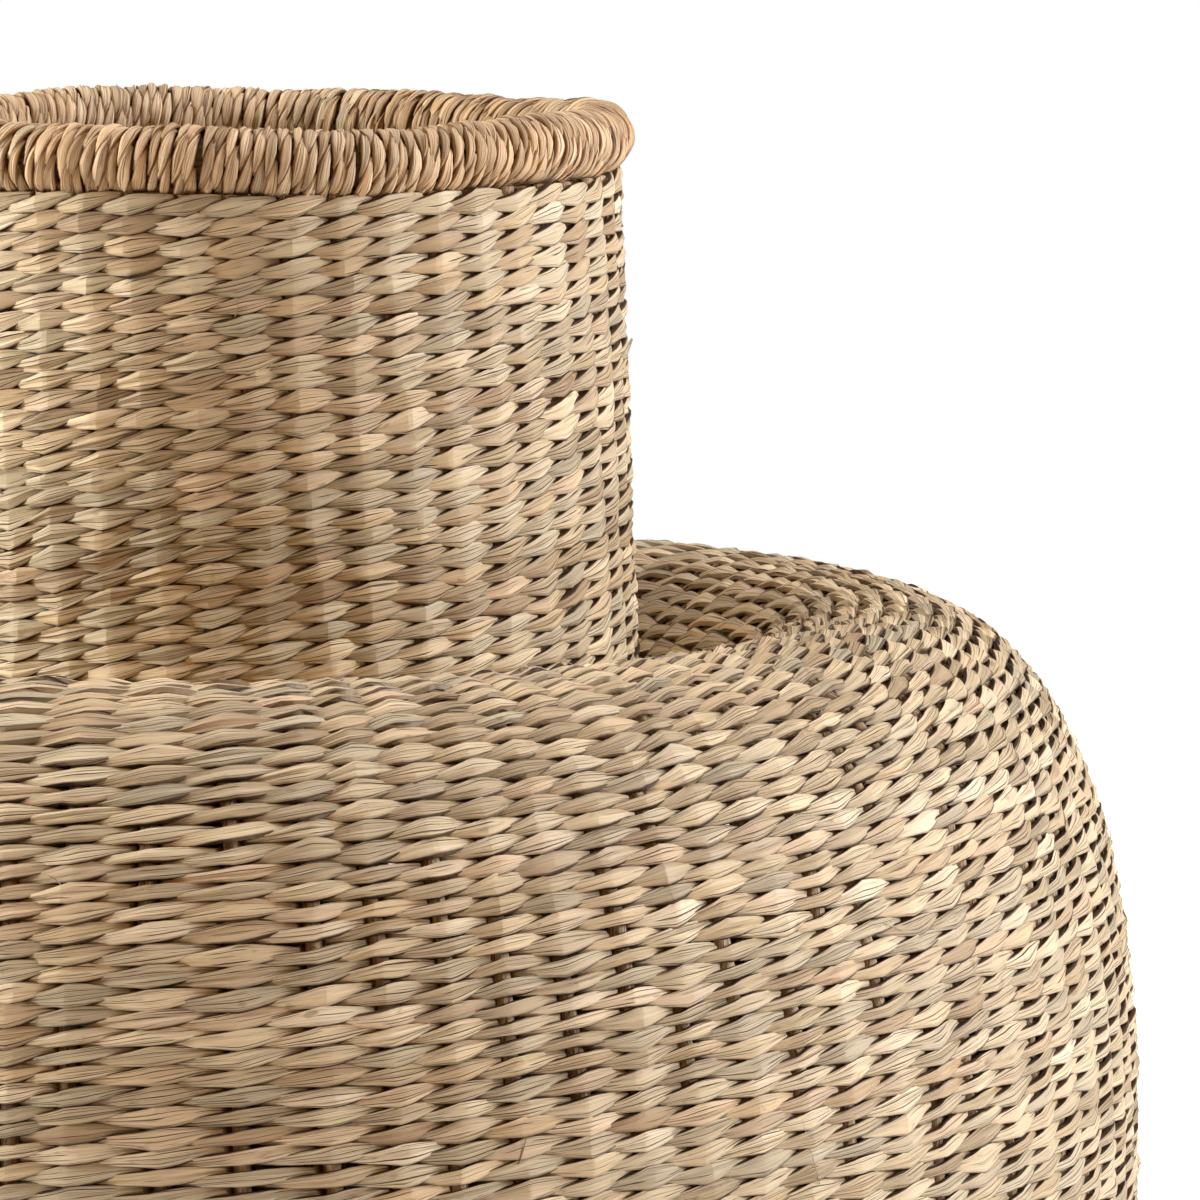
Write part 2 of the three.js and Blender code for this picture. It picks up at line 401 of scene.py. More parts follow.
    def place(self, angle: Array, arc: Array, out: Array, up: Array) -> Array:
        """Points beside the middle surface.

        Args:
            angle: Angle round the axis.
            arc: Way along the middle surface.
            out: Distance outwards from it.
            up: Distance along it, towards the rim.

        Returns:
            Points in space.
        """
        radius, height, out_radius, out_height = self.at(arc)
        reach = radius + out_radius * out - out_height * up
        level = height + out_height * out + out_radius * up
        return np.stack([reach * np.cos(angle), reach * np.sin(angle), level], -1)

    def start_of(self, band: Band) -> float:
        """Way along the middle surface where a band starts."""
        order = list(Band)
        place = order.index(band)
        return self.ends[order[place - 1]] if place else 0.0

    def arc_at(self, band: Band, radius: float) -> float:
        """Way along the middle surface where a band has some radius."""
        inside = (self.arc >= self.start_of(band)) & (self.arc <= self.ends[band])
        index = np.argmin(np.abs(self.radius[inside] - radius))
        return float(self.arc[inside][index])


# Stakes


@dataclass
class StakeSet:
    """Cord stakes: the through stakes of the frame and the added ones that fill the belly.

    Attributes:
        profile: Shape of the wall.
        seed: Seed of the added stakes' ends.
    """

    profile: WallProfile
    seed: int = 7
    uprights: int = 48
    per_group: int = 12
    width: float = 0.0043
    thickness: float = 0.0046
    cross_pitch: float = 0.0043
    cross_lift: float = 0.0039
    ramp_start: float = 0.042
    ramp_end: float = 0.064
    spread: float = math.radians(1.25)
    ease: float = 0.03
    birth_radius: float = 0.168
    step: float = 0.005
    ring_points: int = 10
    flute: float = 0.14
    twist_length: float = 0.060
    wall_lean: float = 0.22
    neck_lean: float = 0.75
    sway: float = 0.0009
    sway_length: float = 0.14
    full_gaps: tuple[int, ...] = (0, 1, 2, 3, 4, 38, 39, 40, 41, 42, 43, 44, 45, 46, 47)
    bare_gaps: tuple[int, ...] = (30, 33, 36)
    bare_length: float = 0.01
    birth_stray: float = 0.006
    short_shares: Pair = (0.25, 0.97)
    long_shares: Pair = (0.25, 0.95)
    ease_lead: float = 0.7
    sway_starts: float = 2.4
    sway_ease: float = 0.05
    flutes: float = 5.0
    least_points: int = 8
    cross_points: int = 12
    cell_steps: int = 24
    through_seeds: Pair = (1.37, 0.61)
    added_seeds: Pair = (40.0, 1.21)
    births: Array = field(init=False)
    deaths: Array = field(init=False)

    def __post_init__(self) -> None:
        """Chooses where each added stake starts and ends."""
        rng = np.random.default_rng(self.seed)
        ends = self.profile.ends
        count = self.uprights
        birth = self.profile.arc_at(Band.HEEL, self.birth_radius)
        self.births = birth + rng.uniform(-self.birth_stray, self.birth_stray, count)
        belly, crest, foot = ends[Band.LOWER_WALL], ends[Band.SHOULDER], ends[Band.DISH]
        short = belly + (crest - belly) * rng.uniform(*self.short_shares, count)
        long = crest + (foot - crest) * rng.uniform(*self.long_shares, count)
        full = np.isin(np.arange(count), self.full_gaps)
        self.deaths = np.where((np.arange(count) % 2 == 0) & ~full, short, long)
        self.deaths[list(self.bare_gaps)] = belly + self.bare_length

    @property
    def pitch(self) -> float:
        """Angle from one upright to the next."""
        return FULL_TURN / self.uprights

    def presence(self, gap: Array, arc: Array) -> Array:
        """How fully the added stake in a gap is there, from 0 to 1."""
        place = gap % self.uprights
        grown = smooth_step((arc - self.births[place]) / self.ease + self.ease_lead)
        return grown * smooth_step((self.deaths[place] - arc) / self.ease + self.ease_lead)

    def drift(self, number: Array, arc: Array) -> Array:
        """How far a stake leans and sways aside from an upright line.

        Args:
            number: Number of the stake.
            arc: Way along the wall.

        Returns:
            Angle round the axis, to be added to the stake's own.
        """
        heel, foot = self.profile.ends[Band.HEEL], self.profile.ends[Band.DISH]
        lean = self.wall_lean * np.clip(arc - heel, 0.0, foot - heel)
        lean = lean + self.neck_lean * np.maximum(arc - foot, 0.0)
        sway = self.sway * np.sin(FULL_TURN * arc / self.sway_length + self.sway_starts * number)
        shown = smooth_step((arc - heel) / self.sway_ease)
        return sway * shown / self.profile.at(np.maximum(arc, heel))[0] - lean

    def upright_angle(self, number: Array, arc: Array) -> Array:
        """Angle of an upright, which gives way a little to the added stakes beside it."""
        before = self.presence(number, arc)
        after = self.presence(number + 1, arc)
        return (number + 0.5) * self.pitch + self.spread * (before - after) + self.drift(number, arc)

    def crossings(self, arc: float, row_pitch: float) -> tuple[Array, ...]:
        """Stakes that one round of weft crosses, in order.

        Args:
            arc: Way along the wall where the round starts.
            row_pitch: How far the round climbs.

        Returns:
            Angle of each stake, the weft's way along the wall there and the stake's number.
        """
        number = np.arange(self.uprights)
        if arc < self.ramp_end:
            angles = (number[::2] + 1.0) * self.pitch
            return angles, arc + row_pitch * angles / FULL_TURN, number[::2]
        gap_arc = arc + row_pitch * number / self.uprights
        gap_angle = number * self.pitch + self.drift(self.uprights + number, gap_arc)
        there = (gap_arc > self.births) & (gap_arc < self.deaths)
        own_arc = arc + row_pitch * (number + 0.5) / self.uprights
        angles = np.concatenate([self.upright_angle(number, own_arc), gap_angle[there]])
        names = np.concatenate([number, self.uprights + number[there]])
        order = np.argsort(angles)
        return angles[order], arc + row_pitch * angles[order] / FULL_TURN, names[order]

    def cord(self, path: Array, across: Array, out: Array, seed: float) -> Tube:
        """A twisted cord along a path.

        Args:
            path: Points of the path.
            across: Direction of the cord's width at each point.
            out: Direction of its thickness at each point.
            seed: Seed of its grain.

        Returns:
            The cord as a tube.
        """
        way = way_along(path)[:, None]
        turn = ring_angles(self.ring_points)[None, :]
        twist = FULL_TURN * way / self.twist_length
        swell = 1.0 + self.flute * np.cos(self.flutes * (turn - twist / self.flutes))
        wide = 0.5 * self.width * swell * np.cos(turn)
        deep = 0.5 * self.thickness * swell * np.sin(turn)
        rings = sweep(path, across, out, wide, deep)
        grain = grain_values(rings, np.cos(turn - twist), way / MM, seed)
        tone = np.full(rings.shape, 0.5)
        tone[..., 0] = seed % 1.0
        return Tube(rings, grain, tone, self.cell_steps)

    def wall_path(self, angle_of: Callable, low: float, high: float) -> tuple[Array, ...]:
        """Path of a stake up the wall.

        Args:
            angle_of: Gives the stake's angle for each way along the wall.
            low: Way along the wall where it starts.
            high: Way where it ends.

        Returns:
            Points, and the directions across and out of the wall there.
        """
        arc = np.linspace(low, high, max(self.least_points, round((high - low) / self.step)))
        angle = angle_of(arc)
        nothing = np.zeros_like(arc)
        points = self.profile.place(angle, arc, nothing, nothing)
        outside = self.profile.place(angle, arc, nothing + 1.0, nothing)
        return points, sideways_at(angle), outside - points

    def through_stake(self, place: int, turned: bool) -> Tube:
        """One stake from the rim through the cross in the base and up to the rim again.

        Args:
            place: Place in its group.
            turned: Whether it is in the group that crosses over the other.

        Returns:
            The stake as a tube.
        """
        count = place - (self.per_group - 1) / 2.0
        lean = count * self.pitch
        turn = math.pi / 2 if turned else 0.0
        lift = self.cross_lift if turned else 0.0
        level = self.profile.depth
        halves = []
        for heading in (lean, math.pi - lean):
            number = np.array(round((turn + heading) / self.pitch - 0.5)) % self.uprights
            points, across, out = self.wall_path(
                lambda arc: self.upright_angle(number, arc), self.ramp_end, self.profile.ends[Band.NECK]
            )
            flat_angle = (number + 0.5) * self.pitch
            radial = np.array([math.cos(flat_angle), math.sin(flat_angle), 0.0])
            start = radial * self.ramp_start + np.array([0.0, 0.0, level + lift])
            ways = (np.vstack([values[:1], values]) for values in (across, out))
            halves.append((np.vstack([start, points]), *ways))
        offset = count * self.cross_pitch
        reach = offset / math.tan(lean)
        along = np.array([math.cos(turn), math.sin(turn), 0.0])
        beside = np.array([-math.sin(turn), math.cos(turn), 0.0])
        middle = beside * offset + np.array([0.0, 0.0, level + lift])
        shares = np.linspace(1.0, -1.0, self.cross_points)
        inner = np.stack([middle + along * share * reach for share in shares])
        down = np.tile(np.array([0.0, 0.0, -1.0]), (len(inner), 1))
        across_inner = np.tile(beside, (len(inner), 1))
        first, second = halves
        path = np.concatenate([first[0][::-1], inner, second[0]])
        across = np.concatenate([first[1][::-1], across_inner, -second[1]])
        out = np.concatenate([first[2][::-1], down, second[2]])
        by_place, by_group = self.through_seeds
        return self.cord(path, across, out, place * by_place + turned * by_group)

    def added_stake(self, gap: int) -> Tube:
        """One added stake in the gap between two uprights."""
        angle = gap * self.pitch
        path = self.wall_path(
            lambda arc: angle + self.drift(self.uprights + gap, arc), self.births[gap], self.deaths[gap]
        )
        first, by_gap = self.added_seeds
        return self.cord(*path, first + gap * by_gap)

    def build(self, material: bpy.types.Material) -> None:
        """Makes the stakes as three pieces."""
        for group, turned in (("under", False), ("over", True)):
            tubes = [self.through_stake(place, turned) for place in range(self.per_group)]
            nodes = [f"stake_{group}_{place + 1:02d}" for place in range(self.per_group)]
            dress(TubePiece(f"stakes_{group}", tubes).build(), material, Slot.STAKE, nodes)
        tubes = [self.added_stake(gap) for gap in range(self.uprights)]
        dress(TubePiece("added_stakes", tubes).build(), material, Slot.STAKE, [])


# Twisted pairs


@dataclass(frozen=True)
class StrandTwist:
    """How a flat strand of a twisted pair runs: over the face, past its partner and behind.

    Lengths along the strand are in stitches, from the middle of a stitch's face.

    Attributes:
        level: Distance outwards at which a stitch's face starts and ends.
        reach: Further distance out to the crest of the face.
        back_reach: Distance from the level in to the back of the stitch.
        half_width: Half of the greatest width.
        half_thickness: Half of the thickness.
        start_length: Length of the face before its middle.
        end_length: Length of the face after its middle.
        course: Way along the stitch, share of the width, climb in metres and roll in degrees.
        steps: Ways along the stitch at which the strand has a section.
    """

    level: float
    reach: float
    back_reach: float
    half_width: float
    half_thickness: float
    start_length: float
    end_length: float
    course: tuple[tuple[float, float, float, float], ...]
    steps: tuple[float, ...]

    # Section from the lower edge over the face to the upper edge and back behind: place across the
    # half width, and height in half thicknesses
    SECTION = np.array(
        [
            (-1.0, -0.5), (-0.91, 0.70), (-0.44, 0.95), (-0.02, 1.0), (0.40, 0.95), (0.90, 0.70),
            (1.0, -0.5), (0.45, -0.9), (-0.45, -0.9),
        ]
    )
    FACE_POINTS = slice(1, 6)
    BACK_POINTS = slice(7, 9)
    FOLDS = FACE_POINTS.stop - FACE_POINTS.start

    def walk(self, stitches: Array) -> tuple[Array, Array]:
        """Number of the stitch and way from its middle, for each step of a strand's run of stitches."""
        own = np.append(np.repeat(stitches, len(self.steps)), stitches[-1])
        return own, np.append(np.tile(self.steps, len(stitches)), 2.0 + self.steps[0])

    def shape(self, phase: Array, bend: Array, ridge: Array) -> tuple[Array, ...]:
        """Place, roll and width of the strand along a stitch.

        Args:
            phase: Way from the middle of the stitch's face.
            bend: Exponent of its crest, 1 for a sharp fold and more for a round one.
            ridge: Way from the middle of the face to the crest.

        Returns:
            Share of the reach, distance outwards, climb, roll and share of the full width.
        """
        local = np.where(phase < -self.start_length, phase + 2.0, phase)
        face_on = local < self.end_length
        back_half = 1.0 - 0.5 * (self.start_length + self.end_length)
        behind = (local - self.end_length) / back_half - 1.0
        past = local - ridge
        share = np.where(past < 0.0, past / (self.start_length + ridge), past / (self.end_length - ridge))
        crest = 1.0 - np.abs(np.where(face_on, share, behind)) ** bend
        way, width, climb, roll = np.array(self.course).T
        out = self.level + np.where(face_on, crest * self.reach, -crest * self.back_reach)
        climbed, rolled, wide = (np.interp(phase, way, values) for values in (climb, roll, width))
        return np.where(face_on, crest, -crest), out, climbed, np.radians(rolled), wide

    def section(self, width: Array, thick: Array, roll: Array, folds: Array) -> tuple:
        """Rolled section of the strand at each step.

        Args:
            width: Half widths.
            thick: Half thicknesses.
            roll: Roll angles.
            folds: Heights of the face points, as shares.

        Returns:
            Outward and upward place of each point, and its place across the grain.
        """
        across = np.broadcast_to(self.SECTION[:, 0], (len(width), len(self.SECTION)))
        height = np.array(np.broadcast_to(self.SECTION[:, 1], across.shape))
        height[:, self.FACE_POINTS] *= folds
        side = across * width[:, None]
        face = height * thick[:, None]
        cos, sin = np.cos(roll)[:, None], np.sin(roll)[:, None]
        return face * cos - side * sin, face * sin + side * cos, across

    def tube(self, rings: Array, grain: Array, *values: Array) -> Tube:
        """Puts the rings of a strand and the values of its finish together.

        Args:
            rings: Points of the strand.
            grain: Place of each point across the grain.
            values: Tone of the strand, tone of the stitch and share of the reach, at each step.

        Returns:
            The strand as a tube.
        """
        way = way_along(rings.mean(1)) / MM
        grains = grain_values(rings, grain, way[:, None], values[0][:, None] * GRAIN_SEEDS)
        tones = grain_values(rings, *(value[:, None] for value in values))
        # The backs of the strands take little or none of the painted shade at the stitch ends, so that they
        # look lit from inside
        tones[:, self.BACK_POINTS, 2] = np.maximum(-tones[:, self.BACK_POINTS, 2], 0.0)
        return Tube(rings, grains, tones, len(self.steps))


TWINED = StrandTwist(
    level=0.0012,
    reach=0.0024,
    back_reach=0.0046,
    half_width=0.00303,
    half_thickness=0.0009,
    start_length=0.80,
    end_length=0.80,
    course=(
        (-0.80, 0.34, -0.00106, -30.0),
        (-0.62, 0.47, -0.00110, -22.0),
        (-0.42, 0.57, -0.00088, -14.0),
        (-0.20, 0.70, -0.00052, -4.0),
        (0.00, 0.92, -0.00010, 3.0),
        (0.20, 0.86, 0.00042, 6.0),
        (0.44, 0.63, 0.00108, 10.0),
        (0.60, 0.47, 0.00154, 13.0),
        (0.78, 0.35, 0.00166, 16.0),
        (0.86, 0.92, 0.00118, 11.0),
        (1.02, 1.46, 0.0, 0.0),
        (1.14, 0.90, -0.00076, -20.0),
        (1.20, 0.34, -0.00106, -30.0),
    ),
    steps=(
        -0.80, -0.68, -0.55, -0.42, -0.28, -0.14, -0.02, 0.02, 0.12, 0.24, 0.36, 0.48, 0.62, 0.78, 0.87, 1.02,
        1.14,
    ),
)
CORDED = StrandTwist(
    level=0.0,
    reach=0.0009,
    back_reach=0.0009,
    half_width=0.00180,
    half_thickness=0.00070,
    start_length=0.70,
    end_length=0.82,
    course=(
        (-0.70, 0.25, -0.0011, -65.0),
        (-0.35, 0.66, -0.00055, -12.0),
        (0.00, 1.00, 0.0, 0.0),
        (0.40, 0.78, 0.00055, 11.0),
        (0.82, 0.40, 0.0011, 65.0),
        (1.06, 0.85, 0.0, 180.0),
        (1.30, 0.25, -0.0011, 295.0),
    ),
    steps=(-0.70, -0.56, -0.40, -0.24, -0.10, 0.0, 0.10, 0.24, 0.40, 0.56, 0.70, 0.82, 0.93, 1.06, 1.19),
)


def strand_tones(rng: np.random.Generator, count: int, shortest: int, longest: int) -> Array:
    """Tone of each stitch of a pair, the same along each length of strand.

    Args:
        rng: Source of the draws.
        count: Stitches in all.
        shortest: Fewest stitches in a length of strand.
        longest: Most stitches in one.

    Returns:
        A tone from 0 to 1 for each stitch.
    """
    tone = np.empty(count)
    for strand in Strand:
        place = strand.value
        while place < count:
            stop = place + 2 * int(rng.integers(shortest, longest))
            tone[place:stop:2] = rng.uniform(0.0, 1.0)
            place = stop
    return tone


# Weft


@dataclass
class TwinedWeft:
    """Pairs of flat strands that twist past one another between the stakes, row over row.

    Attributes:
        profile: Shape of the wall.
        stakes: Stakes that the strands cross.
        seed: Seed of the strands' unevenness.
        looseness: Most width that a stitch over a stake lacks below the neck, as a share.
        neck_looseness: The same on the neck.
        least_fill: Least width of a stitch, as a share of the room between its neighbours.
        out_stray: How far the crest of a stitch strays outwards or inwards, in millimetres.
        plumpness: Share by which a strand is thicker where it is narrow.
    """

    profile: WallProfile
    stakes: StakeSet
    seed: int = 21
    twist: StrandTwist = TWINED
    row_pitch: float = 0.00490
    row_pitches: tuple[float, ...] = (0.00458, 0.00472, 0.0065, 0.0060, 0.00472, 0.00512)
    start: float = 0.0385
    looseness: float = 0.31
    neck_looseness: float = 0.08
    most_stitches: int = 620
    row_wave: float = 0.0008
    row_stray: float = 0.00022
    width_stray: float = 0.15
    packing_rows: int = 9
    least_fill: float = 1.03
    last_share: float = 0.25
    round_stray: float = 0.05
    row_waves: Waves = ((1.0, 3.0, 0.7), (0.6, 5.03, 2.1))
    neck_ease: float = 0.02
    width_limits: Pair = (0.91, 1.36)
    tilts: Pair = (0.82, 1.22)
    out_stray: float = 0.25
    roll_stray: float = 0.13
    bends: Pair = (1.0, 1.5)
    ridge_stray: float = 0.11
    fold_heights: Pair = (0.35, 1.35)
    tone_lengths: tuple[int, int] = (14, 44)
    slack_lengths: Pair = (0.05, 0.11)
    slack_power: float = 2.5
    plumpness: float = 0.3
    angle: Array = field(init=False)
    arc: Array = field(init=False)
    uneven: dict[str, Array] = field(init=False)

    def __post_init__(self) -> None:
        """Lays the weft's rounds over the stakes and draws the unevenness of each stitch."""
        rng = np.random.default_rng(self.seed)
        rounds = []
        arc = self.start
        end = self.profile.ends[Band.NECK]
        while arc + self.last_share * self.row_pitch < end:
            pitch = float(self.pitch_at(arc)) * (1.0 + rng.uniform(-self.round_stray, self.round_stray))
            angle, way, names = self.stakes.crossings(arc, pitch)
            rounds.append((angle + FULL_TURN * len(rounds), way, names))
            arc += pitch
        self.angle, self.arc, names = (np.concatenate(values) for values in zip(*rounds))
        count = len(self.angle)
        wave = self.row_wave * ripple(self.angle, self.row_waves)
        self.arc = self.arc + wave + rng.normal(0.0, self.row_stray, count)
        width = np.clip(rng.normal(1.0, self.width_stray, count), *self.width_limits)
        self.arc = self.arc + self.packing(width, names)
        width = np.clip(np.maximum(width, self.least_fill * self.room(names)), *self.width_limits)
        self.uneven = {
            "width": width,
            "tilt": rng.uniform(*self.tilts, count),
            "loose": self.slack(rng, names),
            "out": rng.uniform(-self.out_stray, self.out_stray, count) * MM,
            "roll": rng.normal(0.0, self.roll_stray, count),
            "bend": rng.uniform(*self.bends, count),
            "ridge": rng.uniform(-self.ridge_stray, self.ridge_stray, count),
            "stitch": rng.uniform(0.0, 1.0, count),
            "tone": strand_tones(rng, count, *self.tone_lengths),
            "fold": rng.uniform(*self.fold_heights, (count, StrandTwist.FOLDS)),
        }
        LOG.info("weft: %d stitches in %d rounds", count, len(rounds))

    def pitch_at(self, arc: Array) -> Array:
        """Distance from one row to the next, greatest over the shoulder."""
        ends = self.profile.ends
        places = [ends[band] for band in (Band.LOWER_WALL, Band.UPPER_WALL, Band.SHOULDER, Band.DISH)]
        places += [ends[Band.DISH] + self.neck_ease, ends[Band.NECK]]
        return np.interp(arc, places, self.row_pitches)

    def columns(self, names: Array, least: int) -> list[Array]:
        """Stitches over each stake from the lowest up, where there are more than the least."""
        every = (np.flatnonzero(names == name) for name in range(int(names.max()) + 1))
        return [column for column in every if len(column) > least]

    def packing(self, width: Array, names: Array) -> Array:
        """How far each stitch moves along its stake to lie close on the wider or narrower one below.

        Args:
            width: Share of the full width for each stitch.
            names: Number of the stake at each stitch.

        Returns:
            Distance along the wall for each stitch.
        """
        shift = np.zeros(len(width))
        even = np.ones(self.packing_rows) / self.packing_rows
        for column in self.columns(names, self.packing_rows):
            extra = width[column] - 1.0
            climb = np.concatenate([[0.0], np.cumsum(0.5 * (extra[1:] + extra[:-1]))]) * self.row_pitch
            padded = np.pad(climb, self.packing_rows // 2, mode="edge")
            shift[column] = climb - np.convolve(padded, even, mode="valid")
        return shift

    def room(self, names: Array) -> Array:
        """Share of the full width that fills the space between the rows above and below each stitch."""
        share = np.ones(len(names))
        for column in self.columns(names, 2):
            share[column] = np.gradient(self.arc[column]) / self.pitch_at(self.arc[column])
        return share

    def slack(self, rng: np.random.Generator, names: Array) -> Array:
        """Width that the stitches over a stake lack where the rows are loose and it shows between them."""
        count = int(names.max()) + 1
        length = rng.uniform(*self.slack_lengths, count)[names]
        start = rng.uniform(0.0, FULL_TURN, count)[names]
        loose = 0.5 + 0.5 * np.sin(FULL_TURN * self.arc / length + start)
        most = np.where(self.arc > self.profile.ends[Band.DISH], self.neck_looseness, self.looseness)
        return most * smooth_step((loose - 0.5) / 0.5)

    def tube(self, first: int, last: int) -> Tube:
        """A run of one strand.

        Args:
            first: Number of its first stitch.
            last: Number of its last stitch, as many stakes on as makes an even count.

        Returns:
            The strand as a tube.
        """
        stitches = np.arange(first, last + 1, 2)
        own, phase = self.twist.walk(stitches)
        place = np.clip(own + phase, 0.0, len(self.angle) - 1.0)
        numbers = np.arange(len(self.angle))
        angle = np.interp(place, numbers, self.angle)
        arc = np.interp(place, numbers, self.arc)
        eased = {
            name: np.interp(place, stitches, self.uneven[name][stitches])
            for name in ("width", "tilt", "roll")
        }
        drawn = {name: self.uneven[name][own] for name in ("out", "loose", "bend", "ridge", "stitch", "tone")}
        depth, out, up, roll, full = self.twist.shape(phase, drawn["bend"], drawn["ridge"])
        crest = np.maximum(depth, 0.0)
        out = out + crest * drawn["out"]
        folds = np.stack([np.interp(place, stitches, fold) for fold in self.uneven["fold"][stitches].T], 1)
        scale = self.pitch_at(arc) / self.row_pitch
        share = full - drawn["loose"] * crest**self.slack_power
        width = self.twist.half_width * scale * eased["width"] * share
        thick = self.twist.half_thickness * (1.0 + self.plumpness - self.plumpness * full)
        outward, upward, grain = self.twist.section(width, thick, roll + eased["roll"] * crest, folds)
        upward = upward + (up * scale * eased["tilt"])[:, None]
        rings = self.profile.place(angle[:, None], arc[:, None], out[:, None] + outward, upward)
        return self.twist.tube(rings, grain, drawn["tone"], drawn["stitch"], depth)

    def runs(self, band: Band, strand: Strand) -> list[tuple[int, int]]:
        """Stitches of one strand in a band, cut into runs that each make a piece.

        Args:
            band: Band of weft.
            strand: Strand of the pair.

        Returns:
            First and last stitch of each run.
        """
        climbed = np.maximum.accumulate(self.arc)
        inside = (climbed > self.profile.start_of(band)) & (climbed <= self.profile.ends[band])
        inside = np.flatnonzero(inside)
        mine = inside[inside % 2 == strand.value]
        parts = np.array_split(mine, math.ceil(len(mine) / self.most_stitches))
        return [(int(part[0]), int(part[-1])) for part in parts]

    def build(self, material: bpy.types.Material) -> None:
        """Makes the strands of every band."""
        for band in Band:
            faces = ("under", "upper") if band is Band.BASE else ("outer", "inner")
            nodes = [f"{band.value}_{face}_weft" for face in faces]
            for strand in Strand:
                for number, (first, last) in enumerate(self.runs(band, strand), 1):
                    name = f"{band.value}_{strand.name.lower()}_strand_{number}"
                    piece = TubePiece(name, [self.tube(first, last)], smooth=False).build()
                    dress(piece, material, Slot.SEAGRASS, nodes)


# Rim


@dataclass
class CordedRim:
    """Rim roll: a hoop closely wrapped by one twisted cord.

    Attributes:
        ring_radius: Radius of the roll's middle line.
        height: Height of the roll's middle line.
        seed: Seed of the wrapping's unevenness.
    """

    ring_radius: float = 0.095
    height: float = 0.4722
    seed: int = 5
    twist: StrandTwist = CORDED
    core_radius: float = 0.0062
    wrap_radius: float = 0.0075
    turns: int = 190
    half_twist: float = 0.0092
    bends: int = 3
    spare_bends: int = 4
    shift: float = 0.30
    lift: float = 0.3 * MM
    swell: float = 0.12
    widths: Pair = (0.72, 1.18)
    crest_bends: Pair = (1.2, 2.2)
    fold_heights: Pair = (0.2, 1.7)
    tone_lengths: tuple[int, int] = (12, 60)
    radius_waves: Waves = ((0.0008, 2.0, 0.4), (0.0006, 5.0, 1.3))
    height_waves: Waves = ((0.0008, 3.0, 2.2), (0.0005, 7.0, 0.5))
    hoop_steps: int = 144
    hoop_points: int = 16
    hoop_cell_steps: int = 12
    hoop_seed: float = 0.3
    hoop_tone: float = 0.4
    flute: float = 0.03
    flutes: float = 9.0
    flute_twist: float = 3.0

    def place(self, angle: Array, turn: Array, reach: Array) -> Array:
        """Points round the roll's middle line, which strays a little from a true ring.

        Args:
            angle: Angle round the vase's axis.
            turn: Angle round the roll, from its outer side upwards.
            reach: Distance from the roll's middle line.

        Returns:
            Points in space.
        """
        radius = self.ring_radius + ripple(angle, self.radius_waves) + reach * np.cos(turn)
        level = self.height + ripple(angle, self.height_waves) + reach * np.sin(turn)
        return np.stack([radius * np.cos(angle), radius * np.sin(angle), level], -1)

    def hoop(self) -> Tube:
        """The core under the wrapping, as a tube that meets itself."""
        angle = np.linspace(0.0, FULL_TURN, self.hoop_steps + 1)[:, None]
        turn = ring_angles(self.hoop_points)[None, :]
        swell = 1.0 + self.flute * np.sin(self.flutes * turn + self.flute_twist * angle)
        rings = self.place(angle, turn, self.core_radius * swell)
        grain = grain_values(rings, np.cos(turn), angle * self.ring_radius / MM, self.hoop_seed)
        return Tube(rings, grain, np.full(rings.shape, self.hoop_tone), self.hoop_cell_steps)

    def ply(self, strand: Strand) -> Tube:
        """One of the two twisted plies of the wrapping cord.

        Args:
            strand: Which of the two.

        Returns:
            The ply as one unbroken tube.
        """
        rng = np.random.default_rng(self.seed)
        round_length = FULL_TURN * self.wrap_radius
        count = int(self.turns * round_length / self.half_twist)
        knots = np.arange(self.turns * self.bends + self.spare_bends) / self.bends
        shifts, lifts, swells = (rng.uniform(-1.0, 1.0, len(knots)) for _ in range(3))
        uneven = {
            "width": rng.uniform(*self.widths, count),
            "bend": rng.uniform(*self.crest_bends, count),
            "stitch": rng.uniform(0.0, 1.0, count),
            "tone": strand_tones(rng, count, *self.tone_lengths),
        }
        folds = rng.uniform(*self.fold_heights, (count, StrandTwist.FOLDS))
        stitches = np.arange(strand.value, count - 2, 2)
        own, phase = self.twist.walk(stitches)
        place = own + phase
        wound = np.maximum(place, 0.0) * self.half_twist / round_length
        bend, stitch, tone = (uneven[name][own] for name in ("bend", "stitch", "tone"))
        eased = np.interp(place, stitches, uneven["width"][stitches])
        depth, out, up, roll, full = self.twist.shape(phase, bend, np.zeros_like(bend))
        width = self.twist.half_width * eased * full * (1.0 + self.swell * np.interp(wound, knots, swells))
        face = np.stack([np.interp(place, stitches, fold) for fold in folds[stitches].T], 1)
        thick = np.full_like(width, self.twist.half_thickness)
        outward, sideways, grain = self.twist.section(width, thick, roll, face)
        angle = FULL_TURN * (wound + self.shift * np.interp(wound, knots, shifts)) / self.turns
        reach = self.wrap_radius + out + self.lift * np.interp(wound, knots, lifts)
        rings = self.place(angle[:, None], FULL_TURN * wound[:, None], reach[:, None] + outward)
        rings = rings + sideways_at(angle)[:, None] * (up[:, None] + sideways)[..., None]
        return self.twist.tube(rings, grain, tone, stitch, depth)

    def build(self, core: bpy.types.Material, cord: bpy.types.Material) -> None:
        """Makes the hoop and its wrapping."""
        dress(TubePiece("rim_hoop_core", [self.hoop()]).build(), core, Slot.RIM_CORE, ["rim_hoop"])
        for strand in Strand:
            name = f"rim_cord_{strand.name.lower()}_ply"
            dress(TubePiece(name, [self.ply(strand)]).build(), cord, Slot.RIM_CORD, ["rim_lashing"])


# Loose ends


@dataclass(frozen=True)
class FibreKind:
    """Sizes of one kind of loose fibre.

    Attributes:
        lengths: Least and greatest length.
        half: Half of its width and of its thickness.
        taper: Share of them that it loses towards the tip.
        lift: Least and greatest share of its length that stands off.
    """

    lengths: Pair
    half: Pair
    taper: float
    lift: Pair


